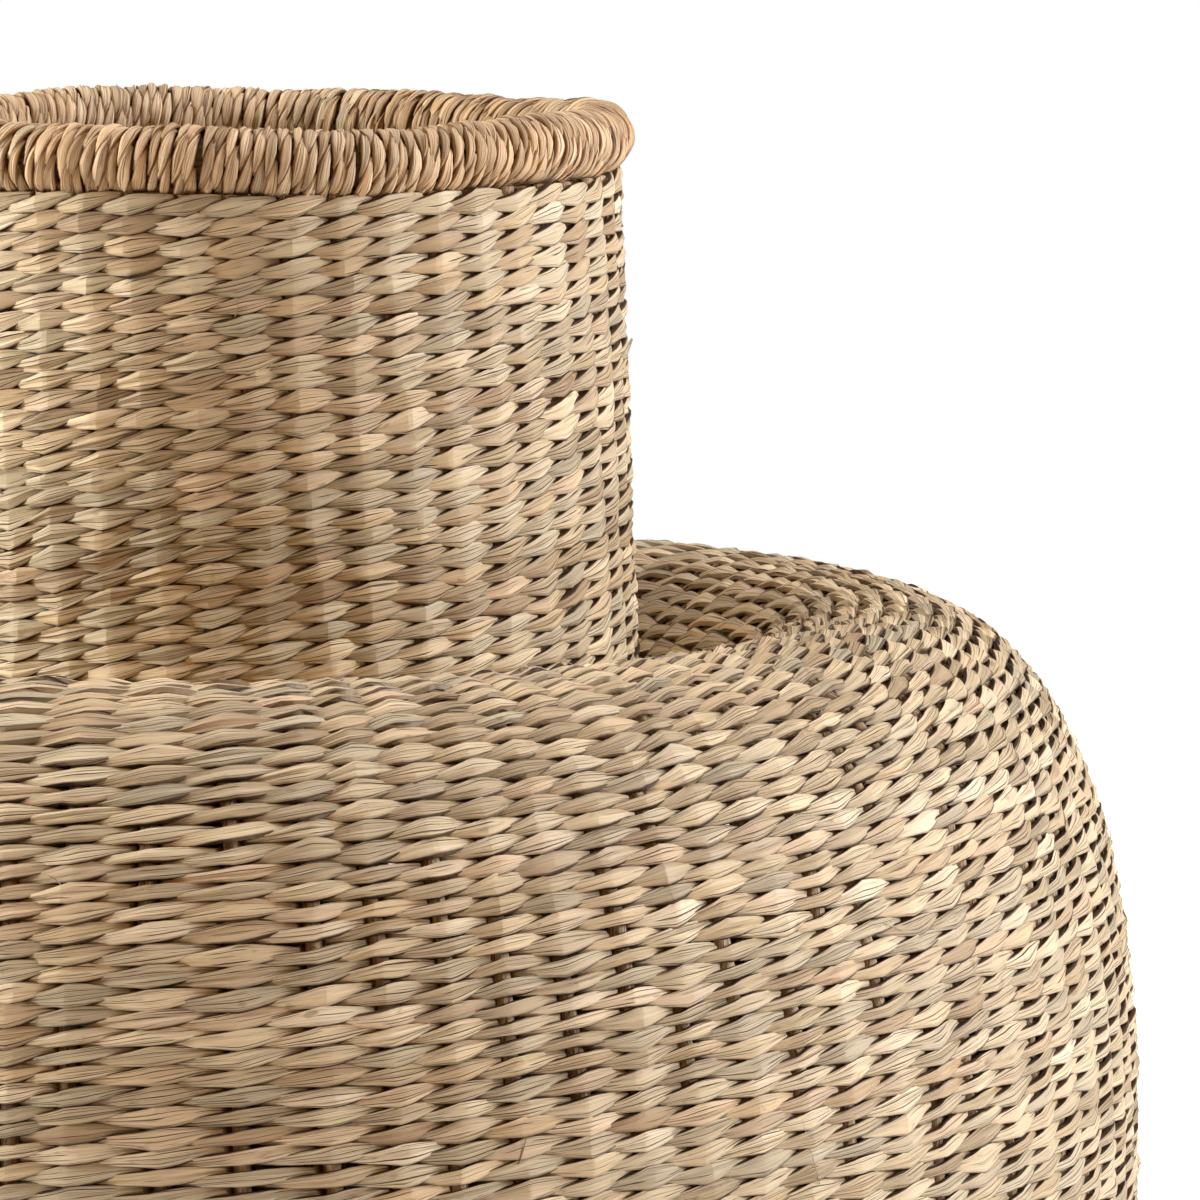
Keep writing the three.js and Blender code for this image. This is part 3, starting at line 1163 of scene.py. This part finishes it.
WALL_HAIR = FibreKind((0.006, 0.020), (0.00020, 0.00014), 0.75, (0.05, 0.5))
RIM_HAIR = FibreKind((0.003, 0.010), (0.00020, 0.00014), 0.75, (0.3, 0.9))
CUT_END = FibreKind((0.003, 0.006), (0.00075, 0.00020), 0.6, (0.12, 0.35))


@dataclass
class StrayFibres:
    """Loose hairs and cut ends that stand out of the weave and from under the rim.

    Attributes:
        weft: Weft that they come out of.
        rim: Rim that some of them hang from.
        seed: Seed of their places.
        row_stray: How far they start from the middle of a row, in millimetres.
        curl: Size and spread of the bend of their tips, as shares of the length.
        sink: Share of the length by which a tip bends back to the wall.
    """

    weft: TwinedWeft
    rim: CordedRim
    seed: int = 34
    hairs: int = 90
    rim_hairs: int = 60
    cut_ends: int = 14
    steps: int = 9
    ring_points: int = 6
    wall_face: float = 0.0036
    angle_stray: float = 0.03
    row_stray: float = 2.0
    curl: Pair = (0.5, 0.6)
    sink: float = 0.25
    rim_turns: Pair = (-105.0, -35.0)
    rim_spread: float = 0.6
    rim_curl: float = 0.35

    def fibre(self, start: Array, way: Array, curl: Array, kind: FibreKind, tone: float) -> Tube:
        """One loose fibre.

        Args:
            start: Where it leaves the weave.
            way: Its length and first direction.
            curl: How far its tip is bent aside.
            kind: Its width, thickness and taper.
            tone: Tone of its finish.

        Returns:
            The fibre as a tube.
        """
        share = np.linspace(0.0, 1.0, self.steps)[:, None]
        path = start + way * share + curl * share**2
        along = np.gradient(path, axis=0)
        along /= np.linalg.norm(along, axis=1)[:, None]
        # The second part keeps a straight fibre's side from vanishing
        side = np.cross(along, curl + 0.1 * way[[1, 2, 0]])
        side /= np.linalg.norm(side, axis=1)[:, None]
        turn = ring_angles(self.ring_points)
        thin = 1.0 - kind.taper * share
        wide = kind.half[0] * thin * np.cos(turn)
        deep = kind.half[1] * thin * np.sin(turn)
        rings = sweep(path, side, np.cross(side, along), wide, deep)
        grain = grain_values(rings, np.cos(turn), share * np.linalg.norm(way) / MM, tone * GRAIN_SEEDS)
        return Tube(rings, grain, np.full(rings.shape, tone), self.steps)

    def on_wall(self, rng: np.random.Generator, kind: FibreKind) -> Tube:
        """A fibre at a chance place of the wall, above the lowest fifth of the stitches.

        Args:
            rng: Source of the draws.
            kind: Kind of fibre.

        Returns:
            The fibre as a tube.
        """
        stitch = int(rng.integers(len(self.weft.angle) // 5, len(self.weft.angle)))
        angle = self.weft.angle[stitch] + rng.uniform(-self.angle_stray, self.angle_stray)
        arc, wall, face = self.weft.arc[stitch], self.weft.profile, self.wall_face
        start = wall.place(angle, arc, face, rng.uniform(-self.row_stray, self.row_stray) * MM)
        outward = wall.place(angle, arc, face + 1.0, 0.0) - wall.place(angle, arc, face, 0.0)
        upward = wall.place(angle, arc, 0.0, 1.0) - wall.place(angle, arc, 0.0, 0.0)
        lean = rng.uniform(-math.pi, math.pi)
        flat = sideways_at(angle) * math.cos(lean) + upward * math.sin(lean)
        length = rng.uniform(*kind.lengths)
        way = length * (flat + outward * rng.uniform(*kind.lift))
        aside = self.curl[0] * rng.normal(0.0, self.curl[1], 3)
        curl = length * (aside - self.sink * outward * rng.uniform(*kind.lift))
        return self.fibre(start, way, curl, kind, rng.uniform(0.0, 1.0))

    def under_rim(self, rng: np.random.Generator) -> Tube:
        """A hair that hangs from under the rim."""
        angle = rng.uniform(0.0, FULL_TURN)
        turn = math.radians(rng.uniform(*self.rim_turns))
        start = self.rim.place(angle, turn, self.rim.wrap_radius)
        outer = self.rim.place(angle, turn, self.rim.wrap_radius + 1.0) - start
        length = rng.uniform(*RIM_HAIR.lengths)
        lifted = outer * rng.uniform(*RIM_HAIR.lift)
        way = length * (lifted + sideways_at(angle) * rng.normal(0.0, self.rim_spread))
        curl = length * rng.normal(0.0, self.rim_curl, 3)
        return self.fibre(start, way, curl, RIM_HAIR, rng.uniform(0.0, 1.0))

    def build(self, material: bpy.types.Material) -> None:
        """Makes all the loose fibres."""
        rng = np.random.default_rng(self.seed)
        hairs = [self.on_wall(rng, WALL_HAIR) for _ in range(self.hairs)]
        hairs += [self.under_rim(rng) for _ in range(self.rim_hairs)]
        ends = [self.on_wall(rng, CUT_END) for _ in range(self.cut_ends)]
        dress(TubePiece("stray_hairs", hairs).build(), material, Slot.SEAGRASS, [])
        dress(TubePiece("cut_strand_ends", ends).build(), material, Slot.SEAGRASS, [])


# Finishes


class GroupNodes:
    """Makes and joins the nodes of one node tree."""

    def __init__(self, tree: bpy.types.NodeTree) -> None:
        """Keeps the tree."""
        self.tree = tree

    def join(self, value: Entry, socket: Socket) -> None:
        """Feeds a socket from another socket or with a number."""
        if isinstance(value, Socket):
            self.tree.links.new(value, socket)
        else:
            socket.default_value = value

    def math(self, operation: str, *values: Entry) -> Socket:
        """A math node on sockets or numbers."""
        node = self.tree.nodes.new("ShaderNodeMath")
        node.operation = operation
        for value, socket in zip(values, node.inputs):
            self.join(value, socket)
        return node.outputs[0]

    def times(self, *values: Entry) -> Socket:
        """The product of two sockets or numbers."""
        return self.math("MULTIPLY", *values)

    def vector(self, *values: Entry) -> Socket:
        """A vector from three sockets or numbers."""
        node = self.tree.nodes.new("ShaderNodeCombineXYZ")
        for value, socket in zip(values, node.inputs):
            self.join(value, socket)
        return node.outputs[0]

    def scaled(self, values: tuple, scales: tuple) -> Socket:
        """A vector from three values, each times its scale."""
        return self.vector(*(self.times(*pair) for pair in zip(values, scales)))

    def split(self, vector: Socket) -> bpy.types.NodeOutputs:
        """The three values of a vector."""
        node = self.tree.nodes.new("ShaderNodeSeparateXYZ")
        self.tree.links.new(vector, node.inputs[0])
        return node.outputs

    def noise(self, vector: Socket, detail: float) -> Socket:
        """Smooth noise at a place."""
        node = self.tree.nodes.new("ShaderNodeTexNoise")
        node.inputs["Scale"].default_value = 1.0
        node.inputs["Detail"].default_value = detail
        self.tree.links.new(vector, node.inputs["Vector"])
        return node.outputs[0]

    def draw(self, vector: Socket) -> bpy.types.NodeOutputs:
        """Three unrelated values for each whole place."""
        node = self.tree.nodes.new("ShaderNodeTexWhiteNoise")
        node.noise_dimensions = "3D"
        self.tree.links.new(vector, node.inputs["Vector"])
        return self.split(node.outputs["Color"])

    def mix(self, factor: Entry, first: Entry, second: Entry, blend: str = "MIX") -> Socket:
        """Mixes two colours."""
        node = self.tree.nodes.new("ShaderNodeMix")
        node.data_type = "RGBA"
        node.blend_type = blend
        for value, number in ((factor, 0), (first, 6), (second, 7)):
            self.join(value, node.inputs[number])
        return node.outputs[2]

    def span(self, value: Entry, *limits: Entry) -> Socket:
        """Maps the span between two limits onto the one between two more or else 0 and 1, held at both."""
        node = self.tree.nodes.new("ShaderNodeMapRange")
        for entry, socket in zip((value, *limits), node.inputs):
            self.join(entry, socket)
        return node.outputs["Result"]


@dataclass(frozen=True)
class CreaseLayer:
    """One layer of creases.

    Attributes:
        fineness: Creases in it for each one that the finish asks for.
        strength: How dark they are.
        least: Value of the noise along them from which they show, on the strand that has most of them.
    """

    fineness: float
    strength: float
    least: float


@dataclass(frozen=True)
class FibreGroup:
    """Shader group for lengthwise fibres, which every plant finish here uses.

    Scales are for the place across a strand, the way along it and its seed.
    """

    streak_scales: Pair = (0.07, 3.7)
    sway_scales: Point = (1.0, 0.06, 1.0)
    sway: float = 1.3
    seed_steps: float = 10.0
    layers: tuple[CreaseLayer, ...] = (CreaseLayer(1.0, 1.8, 0.27), CreaseLayer(2.7, 1.0, 0.34))
    line_places: Pair = (0.2, 0.8)
    line_widths: Pair = (0.4, 1.25)
    fade_scales: Point = (7.3, 0.08, 1.0)
    least_stray: float = 0.24
    fade_length: float = 0.12
    stain_scales: Point = (0.9, 0.13, 1.7)
    stain_limits: Pair = (0.66, 0.74)
    streak_height: float = 0.5

    def build(self) -> bpy.types.NodeTree:
        """Makes the group.

        Returns:
            A group with the masks Streak, Crease and Stain and the value Height.
        """
        group = bpy.data.node_groups.new("lengthwise_fibres", "ShaderNodeTree")
        sockets = group.interface
        sockets.new_socket("Grain", in_out="INPUT", socket_type="NodeSocketVector")
        for name in ("Fibres", "Creases", "Crease Width"):
            sockets.new_socket(name, in_out="INPUT", socket_type="NodeSocketFloat")
        for name in ("Streak", "Crease", "Stain", "Height"):
            sockets.new_socket(name, in_out="OUTPUT", socket_type="NodeSocketFloat")
        make = GroupNodes(group)
        entry = group.nodes.new("NodeGroupInput").outputs
        leave = group.nodes.new("NodeGroupOutput").inputs
        grain = tuple(make.split(entry["Grain"]))
        across, along, seed = grain
        streak = make.noise(make.scaled(grain, (entry["Fibres"], *self.streak_scales)), 2.0)
        sway = make.noise(make.scaled(grain, self.sway_scales), 0.0)
        own = make.math("FLOOR", make.times(seed, self.seed_steps))
        amount = make.draw(make.vector(own, 0.5, 0.5))[0]
        layers = []
        for layer in self.layers:
            lanes = make.times(entry["Creases"], layer.fineness)
            swayed = make.times(sway, self.sway * layer.fineness)
            lane = make.math("ADD", make.times(across, lanes), swayed)
            number = make.math("FLOOR", lane)
            chance = make.draw(make.vector(number, own, layer.fineness))
            line = make.span(chance[0], 0.0, 1.0, *self.line_places)
            off_line = make.math("ABSOLUTE", make.math("SUBTRACT", make.math("FRACT", lane), line))
            width = make.span(chance[1], 0.0, 1.0, *self.line_widths)
            thin = make.times(entry["Crease Width"], width)
            sharp = make.math("SUBTRACT", 1.0, make.math("DIVIDE", off_line, thin))
            fade_noise = make.noise(make.scaled((number, along, seed), self.fade_scales), 0.0)
            least = make.span(amount, 0.0, 1.0, layer.least, layer.least + self.least_stray)
            fade = make.span(fade_noise, least, make.math("ADD", least, self.fade_length))
            shown = make.times(make.math("MAXIMUM", sharp, 0.0), fade)
            layers.append(make.math("MINIMUM", make.times(shown, layer.strength), 1.0))
        crease = make.math("MAXIMUM", *layers)
        stain = make.span(make.noise(make.scaled(grain, self.stain_scales), 3.0), *self.stain_limits)
        height = make.math("SUBTRACT", make.times(streak, self.streak_height), crease)
        for name, value in (("Streak", streak), ("Crease", crease), ("Stain", stain), ("Height", height)):
            group.links.new(value, leave[name])
        return group


@dataclass(frozen=True)
class PlantFinish:
    """Finish of dry plant fibre.

    Attributes:
        name: Name of the material.
        tones: Colours of the strands from one end of the range of tones to the other.
        crease_shade_colour: Painted shade in the creases, whose grooves the bump also cuts.
        crease_shade_share: How strongly that painted shade darkens the creases.
        fibres: Fibres across a strand.
        creases: Creases across a strand.
        crease_width: Width of a crease line.
        roughness: Roughness between the fibres and on them.
        stain_colour: Colour of the stains.
        stain_share: How strongly the stains colour.
        recess_shade_tint: Painted shade at the ends of a stitch, where it goes behind.
        edge_shade_tint: Painted shade along the edges of a strand.
        level_side_shade: Share of that painted shade where a side faces level, on the crest, and light
            reaches it.
        stitch_light: Darkest and lightest stitch, as a share of its colour.
        streak_light: Darkest and lightest fibre, as a share of its colour.
        bump: Depth of the fibres in metres.
        drift: How far the tone of a stitch moves it along the range of tones.
        streaks: Values of the fibre streaks from darkest to lightest.
        lower_shade_edge: Places across a strand where the painted shade of its lower edge starts and is full.
        upper_shade_edge: The same for its upper edge.
        level_sides: Upward parts of a side's direction from where it faces level to where it no longer does.
        end_shade: How far out a stitch lies where the painted shade of its ends starts and where it is full.
        gloss: Strength of the mirror-like part of its reflection.
    """

    name: str
    tones: tuple[tuple[float, Colour], ...]
    crease_shade_colour: Colour
    crease_shade_share: float
    fibres: float
    creases: float
    crease_width: float
    roughness: Pair
    stain_colour: Colour
    stitch_light: Pair
    streak_light: Pair
    stain_share: float = 0.5
    recess_shade_tint: Colour = WHITE
    edge_shade_tint: Colour = WHITE
    level_side_shade: float = 1.0
    bump: float = 0.0004
    drift: float = 0.16
    streaks: Pair = (0.25, 0.75)
    lower_shade_edge: Pair = (-0.67, -0.87)
    upper_shade_edge: Pair = (0.83, 0.93)
    level_sides: Pair = (0.25, 0.60)
    end_shade: Pair = (0.08, -0.3)
    gloss: float = 0.28

    def material(self, fibres: bpy.types.NodeTree) -> bpy.types.Material:
        """Makes the material.

        Args:
            fibres: Shader group for lengthwise fibres.

        Returns:
            The new material.
        """
        material = bpy.data.materials.new(self.name)
        material.use_nodes = True
        nodes, links = material.node_tree.nodes, material.node_tree.links
        make = GroupNodes(material.node_tree)
        shader = nodes["Principled BSDF"]
        grain = nodes.new("ShaderNodeAttribute")
        grain.attribute_name = "grain"
        tone = nodes.new("ShaderNodeAttribute")
        tone.attribute_name = "tone"
        strand, stitch, depth = make.split(tone.outputs["Vector"])
        across = make.split(grain.outputs["Vector"])[0]
        group = nodes.new("ShaderNodeGroup")
        group.node_tree = fibres
        links.new(grain.outputs["Vector"], group.inputs["Grain"])
        for name, value in (
            ("Fibres", self.fibres),
            ("Creases", self.creases),
            ("Crease Width", self.crease_width),
        ):
            group.inputs[name].default_value = value
        streak, crease, stain, height = group.outputs

        ramp = nodes.new("ShaderNodeValToRGB")
        stops = ramp.color_ramp.elements
        while len(stops) < len(self.tones):
            stops.new(0.5)
        for stop, (place, colour) in zip(stops, self.tones):
            stop.position = place
            stop.color = colour
        drift = make.times(make.math("SUBTRACT", stitch, 0.5), self.drift)
        links.new(make.math("ADD", strand, drift), ramp.inputs[0])

        light = make.times(
            make.span(stitch, 0.0, 1.0, *self.stitch_light),
            make.span(streak, *self.streaks, *self.streak_light),
        )
        shaded = nodes.new("ShaderNodeVectorMath")
        shaded.operation = "SCALE"
        links.new(ramp.outputs[0], shaded.inputs[0])
        links.new(light, shaded.inputs["Scale"])
        # Painted shade along the strand edges, wider on the lower edge, and less of it where a side faces
        # level and light reaches it
        normal = nodes.new("ShaderNodeNewGeometry").outputs["Normal"]
        facing = make.math("ABSOLUTE", make.split(normal)[2])
        edge = make.math("MAXIMUM", make.span(across, *self.lower_shade_edge), make.span(across, *self.upper_shade_edge))
        edge = make.times(edge, make.span(facing, *self.level_sides, self.level_side_shade, 1.0))
        # Painted shade on the ends of a stitch, where it dives behind the stake
        end_shade = make.span(depth, *self.end_shade)
        shaded_at_ends = make.mix(end_shade, shaded.outputs[0], self.recess_shade_tint, "MULTIPLY")
        shaded_at_edges = make.mix(edge, shaded_at_ends, self.edge_shade_tint, "MULTIPLY")
        stained = make.mix(make.times(stain, self.stain_share), shaded_at_edges, self.stain_colour)
        # Painted shade in the creases, over the grooves that the bump cuts
        shaded_in_creases = make.mix(make.times(crease, self.crease_shade_share), stained, self.crease_shade_colour)
        links.new(shaded_in_creases, shader.inputs["Base Color"])
        links.new(make.span(streak, *self.streaks, *self.roughness), shader.inputs["Roughness"])
        bump = nodes.new("ShaderNodeBump")
        bump.inputs["Distance"].default_value = self.bump
        bump.inputs["Strength"].default_value = 1.0
        links.new(height, bump.inputs["Height"])
        links.new(bump.outputs[0], shader.inputs["Normal"])
        shader.inputs["Specular IOR Level"].default_value = self.gloss
        return material


SEAGRASS = PlantFinish(
    name="dry_seagrass",
    tones=(
        (0.00, (0.50, 0.345, 0.195, 1.0)),
        (0.10, (0.55, 0.40, 0.228, 1.0)),
        (0.30, (0.62, 0.47, 0.282, 1.0)),
        (0.58, (0.68, 0.535, 0.337, 1.0)),
        (0.78, (0.57, 0.465, 0.30, 1.0)),
        (0.90, (0.62, 0.445, 0.27, 1.0)),
        (1.00, (0.73, 0.595, 0.405, 1.0)),
    ),
    crease_shade_colour=(0.085, 0.045, 0.022, 1.0),
    crease_shade_share=0.97,
    fibres=9.0,
    creases=2.1,
    crease_width=0.092,
    roughness=(0.44, 0.64),
    stain_colour=(0.30, 0.165, 0.075, 1.0),
    stain_share=0.55,
    # Painted shade at the ends of each stitch
    recess_shade_tint=(0.18, 0.105, 0.058, 1.0),
    # Painted shade along the strand edges
    edge_shade_tint=(0.085, 0.052, 0.03, 1.0),
    level_side_shade=0.45,
    stitch_light=(0.82, 1.18),
    streak_light=(0.80, 1.20),
    bump=0.0003,
)
STAKE_CORD = PlantFinish(
    name="brown_seagrass_cord",
    tones=((0.0, (0.46, 0.31, 0.18, 1.0)), (1.0, (0.66, 0.49, 0.305, 1.0))),
    crease_shade_colour=(0.05, 0.025, 0.012, 1.0),
    crease_shade_share=0.7,
    fibres=8.0,
    creases=4.0,
    crease_width=0.15,
    roughness=(0.65, 0.85),
    stain_colour=(0.10, 0.055, 0.028, 1.0),
    stitch_light=(0.9, 1.1),
    streak_light=(0.6, 1.3),
)
RIM_CORE = PlantFinish(
    name="rim_fibre_bundle",
    tones=((0.0, (0.12, 0.065, 0.032, 1.0)), (1.0, (0.22, 0.13, 0.065, 1.0))),
    crease_shade_colour=(0.03, 0.016, 0.008, 1.0),
    crease_shade_share=0.6,
    fibres=10.0,
    creases=5.0,
    crease_width=0.15,
    roughness=(0.7, 0.9),
    stain_colour=(0.10, 0.055, 0.028, 1.0),
    stitch_light=(0.9, 1.1),
    streak_light=(0.6, 1.3),
)
RIM_CORD = PlantFinish(
    name="rim_cord_seagrass",
    tones=(
        (0.0, (0.55, 0.35, 0.177, 1.0)),
        (0.5, (0.715, 0.488, 0.275, 1.0)),
        (0.85, (0.81, 0.582, 0.353, 1.0)),
        (1.0, (0.695, 0.54, 0.332, 1.0)),
    ),
    crease_shade_colour=(0.07, 0.034, 0.015, 1.0),
    crease_shade_share=0.85,
    fibres=7.0,
    creases=2.6,
    crease_width=0.11,
    roughness=(0.42, 0.62),
    stain_colour=(0.26, 0.135, 0.06, 1.0),
    # Milder painted shade at the ends of each stitch of the cord
    recess_shade_tint=(0.58, 0.50, 0.42, 1.0),
    # Painted shade along the edges of the cord
    edge_shade_tint=(0.50, 0.38, 0.27, 1.0),
    stitch_light=(0.84, 1.18),
    streak_light=(0.80, 1.18),
)


# Studio


@dataclass(frozen=True)
class Lamp:
    """A soft square lamp.

    Attributes:
        name: Name of the lamp.
        place: Where it stands.
        size: Side of its panel.
        power: Power in watts.
        colour: Colour of its light.
    """

    name: str
    place: Point
    size: float
    power: float
    colour: Point


COOL_LIGHT: Point = (0.955, 0.995, 1.09)
PALE_LIGHT: Point = (0.97, 0.985, 0.975)
WARM_LIGHT: Point = (1.0, 0.56, 0.21)
LAMPS = (
    Lamp("right_panel", (1.56, -0.24, 0.85), 0.8, 32.9, COOL_LIGHT),
    Lamp("left_panel", (-1.5, -0.06, 0.85), 0.8, 39.0, PALE_LIGHT),
    Lamp("top_panel", (0.0, 0.2, 1.9), 1.2, 15.5, COOL_LIGHT),
    Lamp("front_fill", (0.0, -2.5, 1.2), 1.4, 9.5, WARM_LIGHT),
)


@dataclass
class Studio:
    """Floor, soft light and the camera at the photograph's viewing angle.

    Attributes:
        eye: Where the camera stands.
        aim: What it points at.
        lens: Its focal length in millimetres.
        sensor: Width of its sensor in millimetres.
        lit_point: What the lamps point at.
        floor_radius: Radius of the floor.
        floor_sides: Sides of the floor's outline.
        floor_drop: Distance of the floor below the base.
        floor_colour: Colour of the floor.
        floor_roughness: Roughness of the floor.
        ambient: Strength of the light from all round.
        ambient_colour: Colour of that light.
        glow: Painted glow that only the eye sees in the floor, near the vase and far from it; where it is
            weaker, near the vase, the floor's real shadow shows within a painted darker halo.
        glow_reach: Distances from the axis where those are.
    """

    eye: Point = (0.0, -1.8913, 0.5831)
    aim: Point = (0.0962, 0.0, 0.3486)
    lens: float = 213.4
    sensor: float = 36.0
    lit_point: Point = (0.0, 0.0, 0.32)
    floor_radius: float = 3.0
    floor_sides: int = 96
    floor_drop: float = 0.0002
    floor_colour: Colour = (0.9, 0.9, 0.9, 1.0)
    floor_roughness: float = 0.7
    ambient: float = 0.08
    ambient_colour: Colour = (1.0, 0.58, 0.25, 1.0)
    glow: Pair = (0.45, 0.98)
    glow_reach: Pair = (0.12, 0.75)

    def stand(self, item: bpy.types.Object, place: Point, target: Point) -> None:
        """Puts a camera or lamp at a place, pointing at a target."""
        item.location = place
        item.rotation_euler = (Vector(target) - Vector(place)).to_track_quat("-Z", "Y").to_euler()
        bpy.context.scene.collection.objects.link(item)

    def camera(self) -> None:
        """Makes the camera and sets it as the scene's."""
        data = bpy.data.cameras.new("camera")
        data.lens = self.lens
        data.sensor_width = self.sensor
        data.sensor_fit = "HORIZONTAL"
        camera = bpy.data.objects.new("camera", data)
        self.stand(camera, self.eye, self.aim)
        bpy.context.scene.camera = camera

    def floor(self) -> None:
        """Makes the pale floor, with a painted glow that only the eye sees, weaker near the vase."""
        mesh = bpy.data.meshes.new("floor")
        points = [
            (self.floor_radius * math.cos(turn), self.floor_radius * math.sin(turn), -self.floor_drop)
            for turn in ring_angles(self.floor_sides)
        ]
        mesh.from_pydata(points, [], [list(range(len(points)))])
        material = bpy.data.materials.new("pale_floor")
        material.use_nodes = True
        nodes, links = material.node_tree.nodes, material.node_tree.links
        shader = nodes["Principled BSDF"]
        shader.inputs["Base Color"].default_value = self.floor_colour
        shader.inputs["Roughness"].default_value = self.floor_roughness
        shader.inputs["Emission Color"].default_value = WHITE
        path = nodes.new("ShaderNodeLightPath")
        make = GroupNodes(material.node_tree)
        along, aside, _ = make.split(nodes.new("ShaderNodeTexCoord").outputs["Object"])
        squares = (make.math("POWER", part, 2.0) for part in (along, aside))
        reach = make.math("SQRT", make.math("ADD", *squares))
        # Painted glow for the eye, weaker near the vase, which leaves a painted darker halo round the base
        seen = make.span(reach, *self.glow_reach, *self.glow)
        glow = make.times(path.outputs["Is Camera Ray"], seen)
        links.new(glow, shader.inputs["Emission Strength"])
        mesh.materials.append(material)
        floor = bpy.data.objects.new("floor", mesh)
        bpy.context.scene.collection.objects.link(floor)

    def lamp(self, lamp: Lamp) -> None:
        """Makes one soft lamp."""
        data = bpy.data.lights.new(lamp.name, "AREA")
        data.shape = "SQUARE"
        data.size = lamp.size
        data.energy = lamp.power
        data.color = lamp.colour
        self.stand(bpy.data.objects.new(lamp.name, data), lamp.place, self.lit_point)

    def world(self) -> None:
        """Makes the white surroundings, brighter to the eye than the light that they give."""
        world = bpy.data.worlds.new("white_room")
        bpy.context.scene.world = world
        world.use_nodes = True
        nodes, links = world.node_tree.nodes, world.node_tree.links
        surroundings = nodes["Background"]
        eye_ray = nodes.new("ShaderNodeLightPath").outputs["Is Camera Ray"]
        make = GroupNodes(world.node_tree)
        links.new(make.mix(eye_ray, self.ambient_colour, WHITE), surroundings.inputs["Color"])
        strength = make.span(eye_ray, 0.0, 1.0, self.ambient, 1.0)
        links.new(strength, surroundings.inputs["Strength"])

    def build(self) -> None:
        """Sets up the whole studio."""
        self.camera()
        self.floor()
        self.world()
        for lamp in LAMPS:
            self.lamp(lamp)
        bpy.context.scene.view_settings.view_transform = "Standard"


def main() -> None:
    """Builds the vase and its studio."""
    logging.basicConfig(level=logging.INFO, format="%(message)s")
    profile = WallProfile()
    stakes = StakeSet(profile)
    fibres = FibreGroup().build()
    stakes.build(STAKE_CORD.material(fibres))
    seagrass = SEAGRASS.material(fibres)
    weft = TwinedWeft(profile, stakes)
    weft.build(seagrass)
    rim = CordedRim()
    rim.build(RIM_CORE.material(fibres), RIM_CORD.material(fibres))
    StrayFibres(weft, rim).build(seagrass)
    Studio().build()


if __name__ == "__main__":
    main()
